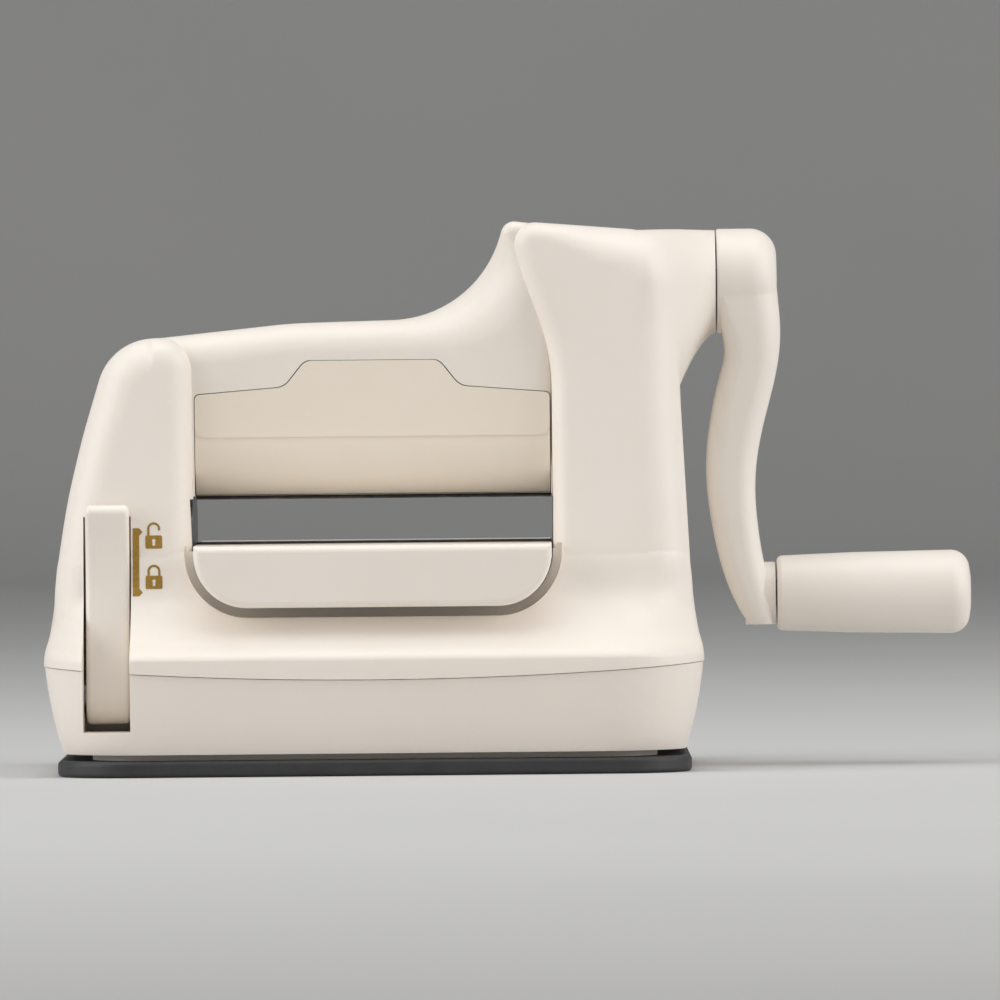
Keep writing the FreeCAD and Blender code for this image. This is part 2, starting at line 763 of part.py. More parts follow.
for side, turn in (("front", -1), ("rear", 1)):
    table = new_body(f"{side}_table")
    lip = 45.8 + column_depth_low - 34
    deck_end = 8.8
    pad(table, "lip", "XZ", [lip_loop(0)], lip - 15 if turn < 0 else -lip, 15)
    tip = value_of(lip)
    round_rims(table, "lip_rim", 1.6, lambda spot: abs(abs(spot.y) - tip) < 0.01)
    low = bed_top - 3
    pad(table, "deck", "XZ", [box_loop(-feed_half + 0.4, feed_half - 0.4, low, bed_top)],
        deck_end if turn < 0 else -(lip - 2), lip - 2 - deck_end)
    inner = [(-feed_half + 3.2, low), (-feed_half + 3.2, bed_top - 11.2, 7.9),
             (feed_half - 3.2, bed_top - 11.2, 7.9), (feed_half - 3.2, low)]
    pocket(table, "lip_hollow", "XZ", [inner], lip - 16 if turn < 0 else -(lip - 2.5), 13.5)
    face = roof_depth
    skin = 2.2
    back = guard_low + skin
    layers = []
    for layer, step, loop in (("skin", 0.25, guard_loop(0)), ("panel", 0, guard_panel())):
        profile = [(face - step, upper_height + 21), (face - step, guard_low, 13 - step), (12.5, guard_low),
                   (12.5, back), (face - skin, back, 10.8), (face - skin, upper_height + 21)]
        profile = [(c[0] * turn,) + tuple(c[1:]) for c in profile]
        bent = outline(f"{side}_guard_{layer}", "YZ", [profile], -(feed_half + 2))
        bent = extrude(bent, 2 * feed_half + 4)
        shape = extrude(outline(f"{side}_{layer}_outline", "XZ", [loop], far_front), far_rear - far_front)
        layers.append(common(f"{side}_guard_{layer}_form", [bent, shape]))
    keep(f"{side}_guard", fuse(f"{side}_guard", layers))

plate_low = floor_top
lower_wide = column_depth_low - 7.5
upper_wide = roof_depth - 3.7
tie_spots = [("rear_top", 17, upper_height + 15.7), ("front_top", -17, upper_height + 15.7),
             ("rear_low", 23.5, lower_height - 9.3), ("front_low", -23.5, lower_height - 9.3)]
for side, turn in (("left", -1), ("right", 1)):
    plate = new_body(f"{side}_side_plate")
    top = upper_height + 20.7 if turn < 0 else crank_height + 9
    head = upper_wide if turn < 0 else 14
    corners = [(-lower_wide, plate_low), (lower_wide, plate_low), (lower_wide, guard_low - 5, 3),
               (upper_wide, guard_low - 1.5, 3), (upper_wide, upper_height + 20.7, 4), (head, top, 4),
               (-head, top, 4), (-upper_wide, upper_height + 20.7, 4), (-upper_wide, guard_low - 1.5, 3),
               (-lower_wide, guard_low - 5, 3)]
    if turn < 0:
        corners = corners[:4] + [(upper_wide, top, 4), (-upper_wide, top, 4)] + corners[8:]
    inner_face = plate_inner if turn > 0 else -plate_outer
    pad(plate, "web", "YZ", [corners], inner_face, side_sheet)
    foot = (plate_inner, foot_spot + 6) if turn > 0 else (-foot_spot - 6, -plate_inner)
    pad(plate, "foot", "XY", [box_loop(foot[0], foot[1], -20, 20)], plate_low, 2.6)
    bores = [("circle", 0, lower_height, 7.5), ("circle", 0, upper_height, 7.5)]
    bores += [("circle", y, z, screw_radius) for _, y, z in tie_spots]
    if turn > 0:
        bores += [("circle", 0, idler_height, 3), ("circle", 0, crank_height, 6.5)]
    pocket(plate, "bores", "YZ", bores, inner_face - 1, side_sheet + 2)
    pocket(plate, "foot_holes", "XY", [("circle", foot_spot * turn, y, screw_radius) for y in (15, -15)],
           plate_low - 1, 4.6)
    for row_name, height in (("upper", upper_height), ("lower", lower_height)):
        bush = new_body(f"{row_name}_{side}_bush")
        start = (plate_inner, plate_outer) if turn > 0 else (-plate_outer, -plate_inner)
        flange = plate_outer if turn > 0 else -plate_outer - 1.5
        hole = ("circle", 0, height, journal_radius + running_gap)
        pad(bush, "sleeve", "YZ", [("circle", 0, height, 7.5), hole], start[0], side_sheet)
        pad(bush, "flange", "YZ", [("circle", 0, height, 9.5), hole], flange, 1.5)

for name, y, z in tie_spots:
    rod = new_body(f"{name}_tie_rod")
    pad(rod, "rod", "YZ", [("circle", y, z, 3)], -plate_inner, 2 * plate_inner)
    pocket(rod, "left_thread", "YZ", [("circle", y, z, screw_radius)], -plate_inner, 8)
    pocket(rod, "right_thread", "YZ", [("circle", y, z, screw_radius)], plate_inner - 8, 8)


def tooth_corners(teeth, height, turned):
    """One tooth of a gear on an axis along X, with flat flanks set on the
    involute and thinned for backlash, turned from upright by degrees."""
    module = value_of(tooth_module)
    pitch = module * teeth / 2
    base = pitch * math.cos(math.radians(25))
    tip = pitch + 0.8 * module
    root = pitch - 1.05 * module
    spread = math.tan(math.radians(25)) - math.radians(25)
    half_at_pitch = math.pi / (2 * teeth) - 0.12 / pitch
    flank = []
    for step in range(4):
        radius = max(base, root) + (tip - max(base, root)) * step / 3
        lean = math.acos(min(1.0, base / radius))
        half = half_at_pitch + spread - (math.tan(lean) - lean)
        flank.append((radius * math.sin(half), radius * math.cos(half)))
    foot_half = flank[0][0] / max(base, root) * (root - 0.6)
    right = [(foot_half, root - 0.6)] + flank
    loop = right + [(-x, z) for x, z in reversed(right)]
    axis = value_of(height)
    sine, cosine = math.sin(math.radians(turned)), math.cos(math.radians(turned))
    return [(x * cosine - z * sine, axis + x * sine + z * cosine) for x, z in loop]


def gear(label, teeth, height, turned, bore, start):
    body = new_body(label)
    root = tooth_module * teeth / 2 - 1.05 * tooth_module
    pad(body, "root_disc", "YZ", [("circle", 0, height, root)], start, gear_width)
    corners = tooth_corners(int(value_of(teeth)), height, turned)
    tooth = pad(body, "tooth", "YZ", [corners], start, gear_width)
    axis_sketch = outline("axle_line", "XZ", [], 0, body)
    line = Part.LineSegment(Vector(0, value_of(height), 0), Vector(10, value_of(height), 0))
    axis_sketch.addGeometry(line, False)
    limits = [Sketcher.Constraint("Horizontal", 0), Sketcher.Constraint("DistanceX", 0, 1, 0.0),
              Sketcher.Constraint("DistanceX", 0, 2, 10.0),
              Sketcher.Constraint("DistanceY", 0, 1, value_of(height))]
    name_limits(axis_sketch, limits, [(3, height)])
    ring = body.newObject("PartDesign::PolarPattern", "teeth")
    ring.Originals = [tooth]
    ring.Axis = (axis_sketch, ["Edge1"])
    ring.Angle = 360
    bind(ring, "Occurrences", teeth)
    body.Tip = ring
    pocket(body, "bore", "YZ", [bore], start - 1, gear_width + 2)
    return body


def square_loop(height, half, radius=0.6):
    return box_loop(-half, half, height - half, height + half, radius)


for row_name, height in (("lower", lower_height), ("upper", upper_height)):
    bore = square_loop(height, journal_radius * 0.7)
    gear(f"{row_name}_roller_gear", roller_teeth, height, 0, bore, gear_start)
gear("crank_gear", crank_teeth, crank_height, 180, ("circle", 0, crank_height, shaft_radius), gear_start)
idler_bore = ("circle", 0, idler_height, 3 + running_gap)
gear("idler_gear", idler_teeth, idler_height, 180 / value_of(idler_teeth), idler_bore, gear_start)

for row_name, height in (("upper", upper_height), ("lower", lower_height)):
    roller = new_body(f"{row_name}_roller")
    face = plate_inner - 0.4
    pad(roller, "barrel", "YZ", [("circle", 0, height, roller_radius)], -face, 2 * face)
    pad(roller, "journals", "YZ", [("circle", 0, height, journal_radius)], -plate_outer - 2.5,
        2 * plate_outer + 5)
    pad(roller, "drive_square", "YZ", [square_loop(height, journal_radius * 0.7)], plate_outer + 2,
        gear_width + 2.4)

idler_axle = new_body("idler_axle")
pad(idler_axle, "pin", "YZ", [("circle", 0, idler_height, 3)], plate_inner, gear_plate_outer - plate_inner)
pad(idler_axle, "head", "YZ", [("circle", 0, idler_height, 4.5)], plate_inner - 1.6, 1.6)
idler_spacer = new_body("idler_spacer")
pad(idler_spacer, "ring", "YZ", [("circle", 0, idler_height, 4.6), ("circle", 0, idler_height, 3)],
    plate_outer, gear_start - plate_outer - 0.3)

spacer_reach = tooth_module * (roller_teeth / 2 + 0.8) + 4.88
low_spacer = (spacer_reach * 0.9025, upper_height + spacer_reach * 0.4306)
spacer_spots = [(12.5, crank_height - 8.6), (-12.5, crank_height - 8.6),
                low_spacer, (-low_spacer[0], low_spacer[1])]
gear_plate = new_body("gear_plate")
plate_half = low_spacer[0] + 3
corners = [(-plate_half, low_spacer[1] - 3.9, 4), (plate_half, low_spacer[1] - 3.9, 4),
           (plate_half, low_spacer[1] + 4.6, 5), (10, crank_height + 8.2, 6), (-10, crank_height + 8.2, 6),
           (-plate_half, low_spacer[1] + 4.6, 5)]
pad(gear_plate, "web", "YZ", [corners], gear_plate_inner, 2.5)
bores = [("circle", 0, idler_height, 3), ("circle", 0, crank_height, 6.5)]
bores += [("circle", y, z, screw_radius) for y, z in spacer_spots]
pocket(gear_plate, "bores", "YZ", bores, gear_plate_inner - 1, 4.5)
bush_places = (("inner", plate_inner, plate_outer), ("outer", gear_plate_inner, gear_plate_inner - 1.5))
for name, start, flange in bush_places:
    bush = new_body(f"crank_{name}_bush")
    deep = side_sheet if name == "inner" else 2.5
    hole = ("circle", 0, crank_height, shaft_radius + running_gap)
    pad(bush, "sleeve", "YZ", [("circle", 0, crank_height, 6.5), hole], start, deep)
    pad(bush, "flange", "YZ", [("circle", 0, crank_height, 8), hole], flange, 1.5)


def screws(label, axis, spots, head_at, head_high, head_radius, tip_at, toward=1):
    """A group of equal screws with flat heads, their shanks along an axis."""
    bodies = []
    for i, (a, b) in enumerate(spots):
        head_end = head_at + head_high * toward
        low, high = (head_at, head_end) if toward > 0 else (head_end, head_at)
        bodies.append(bar_along(f"{label}_head_{i}", axis, a, b, head_radius, (low, high)))
        low, high = (tip_at, low) if toward > 0 else (high, tip_at)
        bodies.append(bar_along(f"{label}_shank_{i}", axis, a, b, screw_radius, (low, high)))
    return keep(label, fuse(label, bodies))


spacers = []
for i, (y, z) in enumerate(spacer_spots):
    tube = bar_along(f"spacer_{i}", "X", y, z, 3.4, (plate_outer, gear_plate_inner))
    deep = (gear_plate_inner - 9, gear_plate_inner + 1)
    bore = bar_along(f"spacer_bore_{i}", "X", y, z, screw_radius, deep)
    spacers.append(boolean("Cut", f"spacer_tube_{i}", [tube, bore]))
keep("gear_plate_spacers", fuse("gear_plate_spacers", spacers))
screws("gear_plate_screws", "X", spacer_spots, gear_plate_outer, fixed(2), 2.8, gear_plate_inner - 8)
ties = [(y, z) for _, y, z in tie_spots]
screws("right_frame_screws", "X", ties, plate_outer, fixed(1.9), 2.8, plate_inner - 7)
screws("left_frame_screws", "X", ties, -plate_outer, fixed(1.9), 2.8, -(plate_inner - 7), -1)
screws("shell_screws", "Y", shell_screw_spots, fixed(8), fixed(2.2), 2.9, fixed(-10))
screws("floor_screws", "Z", floor_screw_spots, base_underside, base_underside - pad_thickness - 0.1, 2.8,
       floor_top + 2.5, -1)

crank_shaft = new_body("crank_shaft")
shaft_end = boss_face + 10
pad(crank_shaft, "round", "YZ", [("circle", 0, crank_height, shaft_radius)], plate_inner - 1.9,
    boss_face + 0.2 - plate_inner + 1.9)
shaft_square = square_loop(crank_height, shaft_radius * 0.7)
pad(crank_shaft, "square", "YZ", [shaft_square], boss_face, shaft_end - boss_face)
pocket(crank_shaft, "thread", "YZ", [("circle", 0, crank_height, screw_radius)], shaft_end - 9, 9)
clip = new_body("crank_clip")
pad(clip, "ring", "YZ", [("circle", 0, crank_height, 6.2), ("circle", 0, crank_height, shaft_radius)],
    plate_inner - 1.3, 1.0)

grip_height = crank_height - crank_reach
arm_in = boss_face + 0.3
# The arm by levels below the hub: drop, inner and outer face, half depth and
# the rounding of the inner and outer edges.
arm_levels = [
    (2, 0.1, 13.5, 11.2, 0.8, 6), (-2.5, 0.1, 13.7, 11.3, 1.2, 6),
    (-7, 0.5, 14.1, 11.2, 2.4, 5.6), (-11.5, 1.2, 14.3, 11.0, 3.6, 5.2),
    (-16, 1.7, 14.0, 10.7, 4.4, 4.8), (-21.7, 0.4, 13.0, 10.3, 4.6, 4.6),
    (-29.7, -1.4, 10.9, 10.0, 4.6, 4.6), (-37.7, -2.5, 9.1, 9.6, 4.4, 4.4),
    (-45.7, -2.5, 8.35, 9.2, 4.2, 4.2), (-53.7, -1.5, 8.8, 8.8, 4.2, 4.2),
    (-61.7, 0.2, 10.0, 8.4, 4.2, 4.2), (-68.7, 2.5, 11.6, 8.0, 4, 4),
    (-73.6, 4.9, 12.3, 7.4, 3.4, 3.4), (-76.4, 6.8, 12.0, 6.2, 2.4, 2.4),
]
arm_scale = crank_reach / 69.6
arm_sections = []
for i, (drop, inside, outside, half, inner_round, outer_round) in enumerate(arm_levels):
    near, away = arm_in + inside, arm_in + outside
    loop = [(near, fixed(-half), inner_round), (away, fixed(-half), outer_round),
            (away, fixed(half), outer_round), (near, fixed(half), inner_round)]
    arm_sections.append(outline(f"arm_{i}", "XY", [loop], crank_height + arm_scale * drop))
hub = bar_along("arm_hub", "X", 0, crank_height, hub_radius, (arm_in, arm_in + 13.6))


def hub_rim(edge):
    """The two round rims of the crank hub."""
    if edge.BoundBox.XLength > 0.1:
        return None
    return (6, 6) if edge.BoundBox.XMin > value_of(arm_in) + 1 else (0.6, 0.6)


arm_form = fuse("arm_form", [
    loft("arm_loft", arm_sections), round_edges(hub, "arm_hub_rounded", hub_rim),
    bar_along("arm_collar", "X", 0, grip_height, 7.1, (arm_in + 6, arm_in + 12.7)),
])
arm_tools = [
    block("arm_relief", (boss_face - 9, arm_in), (-20, 20), (crank_height - 16, crank_height + 20)),
    extrude(outline("arm_square", "YZ", [shaft_square], boss_face - 1), shaft_end - boss_face + 1.4),
    bar_along("arm_thread", "X", 0, crank_height, screw_radius + 0.2, (boss_face, boss_face + 30)),
    bar_along("arm_well", "X", 0, crank_height, 6.2, (shaft_end + 0.5, boss_face + 30)),
    bar_along("arm_pin_hole", "X", 0, grip_height, 3, (boss_face - 10, boss_face + 30)),
]
keep("crank_arm", cut_each("crank_arm", arm_form, arm_tools))
crank_washer = new_body("crank_washer")
washer = [("circle", 0, crank_height, 5.8), ("circle", 0, crank_height, screw_radius)]
pad(crank_washer, "ring", "YZ", washer, shaft_end + 0.5, 0.8)
screws("crank_screw", "X", [(0, crank_height)], shaft_end + 1.3, fixed(2.2), 3.4, shaft_end - 8)

grip_start = arm_in + 13.1
grip_pin = new_body("grip_pin")
pad(grip_pin, "pin", "YZ", [("circle", 0, grip_height, 3)], arm_in + 4.5, grip_length + 2)
pad(grip_pin, "pin_head", "YZ", [("circle", 0, grip_height, 4.4)], arm_in + 4.5 + grip_length + 2, 1.5)
grip = new_body("grip")
grip_end = grip_start + grip_length
revolve_x(grip, "grip_turned", grip_height, [
    (grip_start, fixed(3.05)), (grip_start, grip_radius, 1.2), (grip_start + 17, grip_radius + 0.65, 90),
    (grip_end - 0.9, grip_radius + 1.05, 4.2), (grip_end, grip_radius - 4.6, 3), (grip_end, fixed(0)),
    (grip_end - 4, fixed(0)), (grip_end - 4, fixed(4.8)),
    (arm_in + 4.5 + grip_length + 1.9, fixed(4.8)), (arm_in + 4.5 + grip_length + 1.9, fixed(3.05)),
])

lever = new_body("lever")
y0 = lever_axis_depth
lever_foot = lever_pivot_height - 6.4
lever_corners = [
    (y0 - 3.2, lever_top, 1.8), (y0 - 0.2, lever_pivot_height + 29, 40),
    (y0 - 6, lever_foot, 5.2), (y0 + 6.2, lever_foot, 5.2),
    (y0 + 7, lever_pivot_height + 20, 30), (y0 + 6.5, lever_pivot_height + 33, 3),
    (y0 + 1.7, lever_pivot_height + 37.6, 5), (y0 + 1.2, lever_top, 1.6),
]
pad(lever, "arm", "YZ", [lever_corners], lever_left, lever_width)
round_rims(lever, "lever_rims", 1.2, lambda spot: min(
    abs(spot.x - value_of(lever_left)), abs(spot.x - value_of(lever_right))) < 0.01)
pocket(lever, "shaft_bore", "YZ", [("circle", y0, lever_pivot_height, 3)], lever_left - 1, lever_width + 2)

pin_low = eccentric * math.sin(math.radians(40))
pin_out = eccentric * math.cos(math.radians(40))
pin_y = y0 + pin_out
pin_z = lever_pivot_height - pin_low
lever_shaft = new_body("lever_shaft")
shaft_start = slot_range[0] - 2
pad(lever_shaft, "long_end", "YZ", [("circle", y0, lever_pivot_height, 3)], shaft_start, -4.5 - shaft_start)
pad(lever_shaft, "left_web", "YZ", [("circle", y0, lever_pivot_height, eccentric + 2.7)], -7, 2.5)
pad(lever_shaft, "crank_pin", "YZ", [("circle", pin_y, pin_z, 2.5)], -4.5, 9)
pad(lever_shaft, "right_web", "YZ", [("circle", y0, lever_pivot_height, eccentric + 2.7)], 4.5, 2.5)
pad(lever_shaft, "short_end", "YZ", [("circle", y0, lever_pivot_height, 3)], 7, 9.5)

lever_bracket = new_body("lever_bracket")
cheek_top = lever_pivot_height + 5.5
cheek = [(y0 - 5, floor_top), (y0 + 5, floor_top), (y0 + 5, cheek_top, 4.9), (y0 - 5, cheek_top, 4.9)]
pad(lever_bracket, "cheek", "YZ", [cheek], 10, 6)
pocket(lever_bracket, "shaft_bore", "YZ", [("circle", y0, lever_pivot_height, 3 + running_gap)], 9, 8)
pocket(lever_bracket, "screw_bore", "XY", [("circle", 13, y0, screw_radius)], floor_top - 1, 4)

lift_bar = new_body("lift_bar")
bar_corners = [
    (pin_y - 5, pin_z - 5.2, 4.5), (pin_y + 6, pin_z - 5.2, 4),
    (pin_y + 14, pin_z - 3.6, 6), (bar_hinge_depth + 4, pin_z - 3.6, 3.4),
    (bar_hinge_depth + 4, pin_z + 3.6, 3.4), (pin_y + 14, pin_z + 3.6, 6),
    (pin_y + 6, pin_z + 5.2, 4), (pin_y - 5, pin_z + 5.2, 4.5),
]
pad(lift_bar, "bar", "YZ", [bar_corners], -3, 6)
bar_holes = [
    box_loop(pin_y - 3, pin_y + 4.3, pin_z - 2.85, pin_z + 2.85, 2.6),
    box_loop(-2.7, 2.7, pin_z - 2.08, pin_z + 2.08, 2),
    ("circle", bar_hinge_depth, pin_z, 2 + running_gap),
]
pocket(lift_bar, "bar_holes", "YZ", bar_holes, -4, 8)

hinge = new_body("lift_bar_bracket")
hinge_range = (bar_hinge_depth - 5, bar_hinge_depth + 5.5)
cheek = [(hinge_range[0], floor_top), (hinge_range[1], floor_top),
         (hinge_range[1], pin_z + 5, 4.5), (hinge_range[0], pin_z + 5, 4.5)]
pad(hinge, "left_cheek", "YZ", [cheek], -6.6, 3.1)
pad(hinge, "right_cheek", "YZ", [cheek], 3.5, 3.1)
pad(hinge, "bridge", "XY", [box_loop(-6.6, 6.6, hinge_range[0], hinge_range[1])], floor_top, 1.6)
pocket(hinge, "pin_bore", "YZ", [("circle", bar_hinge_depth, pin_z, 2)], -8, 16)
screw_bores = [("circle", x, bar_hinge_depth + 3, screw_radius) for x in (5, -5)]
pocket(hinge, "screw_bores", "XY", screw_bores, floor_top - 1, 4)
hinge_pin = new_body("lift_bar_pin")
pad(hinge_pin, "pin", "YZ", [("circle", bar_hinge_depth, pin_z, 2)], -7.2, 14.4)

stem = new_body("suction_stem")
pad(stem, "flange", "XY", [("circle", 0, 0, 12)], boss_top, 1.7)
stem_cheek = [(-4.6, boss_top), (4.6, boss_top), (4.6, pin_z + 4.6, 4.4), (-4.6, pin_z + 4.6, 4.4)]
pad(stem, "left_cheek", "YZ", [stem_cheek], -6.4, 3)
pad(stem, "right_cheek", "YZ", [stem_cheek], 3.4, 3)
pocket(stem, "pin_bore", "YZ", [("circle", 0, pin_z, 2)], -8, 16)
stem_pin = new_body("stem_pin")
pad(stem_pin, "pin", "YZ", [("circle", 0, pin_z, 2)], -6.9, 13.8)

doc.recompute()
for thing in doc.Objects:
    if "Invalid" in thing.State or "Error" in thing.State:
        raise RuntimeError(f"{thing.Label} did not build: {thing.State}")
for label, thing in pieces.items():
    if thing.Shape.isNull() or not thing.Shape.isValid() or not thing.Shape.Solids:
        raise RuntimeError(f"{label} has no valid solid")
os.makedirs("parts", exist_ok=True)
for label, thing in pieces.items():
    thing.Shape.exportStep(f"parts/{label}.step")
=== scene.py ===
"""Looks of a small hand-cranked die cutting machine: its finishes, printed marks, screws and studio."""

import json
import logging
import math
from dataclasses import dataclass, field
from enum import Enum
from typing import Callable, Iterable

import bpy
import numpy as np
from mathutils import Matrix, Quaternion, Vector

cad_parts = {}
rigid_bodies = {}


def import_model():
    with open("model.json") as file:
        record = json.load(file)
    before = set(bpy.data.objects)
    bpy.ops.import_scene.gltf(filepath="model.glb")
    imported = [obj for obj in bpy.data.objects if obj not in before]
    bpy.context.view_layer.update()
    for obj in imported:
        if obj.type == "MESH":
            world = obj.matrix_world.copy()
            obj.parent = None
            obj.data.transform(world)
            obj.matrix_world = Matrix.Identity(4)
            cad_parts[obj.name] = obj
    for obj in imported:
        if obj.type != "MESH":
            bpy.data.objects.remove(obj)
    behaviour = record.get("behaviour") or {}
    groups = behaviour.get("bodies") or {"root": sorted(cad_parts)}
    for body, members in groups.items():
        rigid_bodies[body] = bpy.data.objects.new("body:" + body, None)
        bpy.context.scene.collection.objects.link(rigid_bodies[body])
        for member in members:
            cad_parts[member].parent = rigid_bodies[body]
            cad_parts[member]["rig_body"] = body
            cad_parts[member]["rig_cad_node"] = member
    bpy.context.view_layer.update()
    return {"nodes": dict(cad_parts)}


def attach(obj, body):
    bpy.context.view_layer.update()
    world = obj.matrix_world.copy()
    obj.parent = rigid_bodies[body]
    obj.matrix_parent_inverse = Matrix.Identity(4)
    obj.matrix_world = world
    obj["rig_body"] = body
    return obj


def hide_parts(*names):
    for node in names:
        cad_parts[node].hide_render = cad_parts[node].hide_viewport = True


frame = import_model()

LOG = logging.getLogger("die_cutter")
MM = 0.001
MERGE_WITHIN = 0.001 * MM
WHITE_LIGHT = (255, 255, 255)
WARM_LIGHT = (255, 243, 233)
SHELLS = ("front_shell", "rear_shell")
MARKED_BODY = "housing"

Key = tuple[int, int]


class Edge(Enum):
    """How sharply a skin's edges are kept, as the angle in degrees above which an edge stays sharp."""

    MOULDED = 32.0
    TURNED = 40.0


def linear(red: int, green: int, blue: int) -> tuple[float, float, float, float]:
    """Turns a screen colour into scene light.

    Args:
        red, green, blue: the colour as seen on a screen, 0 to 255.

    Returns:
        The same colour as linear light, with alpha 1.
    """
    def light(level: int) -> float:
        """One channel as linear light."""
        share = level / 255
        return share / 12.92 if share <= 0.04045 else ((share + 0.055) / 1.055) ** 2.4

    return light(red), light(green), light(blue), 1.0


class NodeSheet:
    """A material's node tree, with short calls to add and join nodes."""

    def __init__(self, name: str) -> None:
        """Makes an empty material with one shader and its output.

        Args:
            name: the material's name.
        """
        self.material = bpy.data.materials.new(name)
        self.material.use_nodes = True
        self.tree = self.material.node_tree
        self.shader = self.tree.nodes["Principled BSDF"]
        self.place = self.add("ShaderNodeTexCoord").outputs["Object"]

    def add(self, kind: str, **sockets: object) -> bpy.types.Node:
        """Adds a node.

        Args:
            kind: the node's type.
            sockets: values for its inputs, with spaces in their names as underscores.

        Returns:
            The new node.
        """
        node = self.tree.nodes.new(kind)
        for name, value in sockets.items():
            node.inputs[name.replace("_", " ")].default_value = value
        return node

    def join(self, output: bpy.types.NodeSocket, target: bpy.types.NodeSocket) -> None:
        """Links an output to an input."""
        self.tree.links.new(output, target)

    def set(self, **sockets: object) -> None:
        """Sets the shader's own inputs, with spaces in their names as underscores."""
        for name, value in sockets.items():
            self.shader.inputs[name.replace("_", " ")].default_value = value

    def noise(self, scale: float, detail: float = 2.0,
              stretch: Iterable[float] = (1, 1, 1)) -> bpy.types.NodeSocket:
        """A noise pattern in the piece's own place.

        Args:
            scale: features per metre.
            detail: octaves of the noise.
            stretch: scale along X, Y and Z.

        Returns:
            The noise's value output.
        """
        mapping = self.add("ShaderNodeMapping", Scale=tuple(stretch))
        self.join(self.place, mapping.inputs["Vector"])
        texture = self.add("ShaderNodeTexNoise", Scale=scale, Detail=detail, Roughness=0.55)
        self.join(mapping.outputs["Vector"], texture.inputs["Vector"])
        return texture.outputs["Fac"]

    def spread(self, value: bpy.types.NodeSocket, low: float, high: float) -> bpy.types.NodeSocket:
        """Spreads a noise's middle range.

        Args:
            value: the noise's output.
            low: what the range's low end becomes.
            high: what its high end becomes.

        Returns:
            The spread output.
        """
        ramp = self.add("ShaderNodeMapRange", From_Min=0.3, From_Max=0.7, To_Min=low, To_Max=high)
        self.join(value, ramp.inputs["Value"])
        return ramp.outputs["Result"]

    def tint(self, value: bpy.types.NodeSocket, first: tuple, second: tuple) -> None:
        """Colours the shader between two colours.

        Args:
            value: an output that goes from 0 to 1.
            first: the linear colour at 0.
            second: the linear colour at 1.
        """
        mix = self.add("ShaderNodeMix")
        mix.data_type = "RGBA"
        mix.inputs[6].default_value = first
        mix.inputs[7].default_value = second
        self.join(value, mix.inputs[0])
        self.join(mix.outputs[2], self.shader.inputs["Base Color"])

    def relief(self, value: bpy.types.NodeSocket, height: float, strength: float) -> None:
        """Gives the surface a fine relief.

        Args:
            value: the relief's pattern.
            height: its height.
            strength: how much of it shows, 0 to 1.
        """
        bump = self.add("ShaderNodeBump", Distance=height, Strength=strength)
        self.join(value, bump.inputs["Height"])
        self.join(bump.outputs["Normal"], self.shader.inputs["Normal"])


@dataclass(frozen=True)
class MouldedPlastic:
    """Satin moulded plastic with a very fine eroded grain and a slight cloud in its colour."""

    name: str
    colour: tuple[int, int, int]
    cloud: tuple[int, int, int]
    roughness: float = 0.40
    grain_per_metre: float = 4200.0
    grain_height: float = 0.012 * MM
    grain_strength: float = 0.5
    glow: float = 0.10
    glow_depth: float = 1.5 * MM
    glow_reach: tuple[float, float, float] = (1.0, 0.62, 0.40)
    clouds_per_metre: float = 22.0
    sheens_per_metre: float = 160.0
    ior: float = 1.49

    def material(self) -> bpy.types.Material:
        """Makes the finish.

        Returns:
            Its material.
        """
        sheet = NodeSheet(self.name)
        clouds = sheet.spread(sheet.noise(self.clouds_per_metre), 0.0, 1.0)
        sheet.tint(clouds, linear(*self.colour), linear(*self.cloud))
        sheen = sheet.noise(self.sheens_per_metre, 4.0)
        rough = sheet.spread(sheen, self.roughness - 0.03, self.roughness + 0.04)
        sheet.join(rough, sheet.shader.inputs["Roughness"])
        sheet.relief(sheet.noise(self.grain_per_metre, 3.0), self.grain_height, self.grain_strength)
        sheet.set(IOR=self.ior, Subsurface_Weight=self.glow, Subsurface_Scale=self.glow_depth,
                  Subsurface_Radius=self.glow_reach)
        return sheet.material


@dataclass(frozen=True)
class SoftRubber:
    """Dark matt rubber with a fine skin and a trace of bloom."""

    name: str
    colour: tuple[int, int, int]
    bloom: tuple[int, int, int]
    roughness: float = 0.52
    blooms_per_metre: float = 120.0
    sheens_per_metre: float = 420.0
    pores_per_metre: float = 2600.0
    pore_depth: float = 0.02 * MM
    pore_strength: float = 0.5
    ior: float = 1.5

    def material(self) -> bpy.types.Material:
        """Makes the finish.

        Returns:
            Its material.
        """
        sheet = NodeSheet(self.name)
        blooms = sheet.spread(sheet.noise(self.blooms_per_metre, 5.0), 0.0, 1.0)
        sheet.tint(blooms, linear(*self.colour), linear(*self.bloom))
        sheen = sheet.noise(self.sheens_per_metre, 3.0)
        rough = sheet.spread(sheen, self.roughness - 0.06, self.roughness + 0.08)
        sheet.join(rough, sheet.shader.inputs["Roughness"])
        sheet.relief(sheet.noise(self.pores_per_metre, 3.0), self.pore_depth, self.pore_strength)
        sheet.set(IOR=self.ior)
        return sheet.material


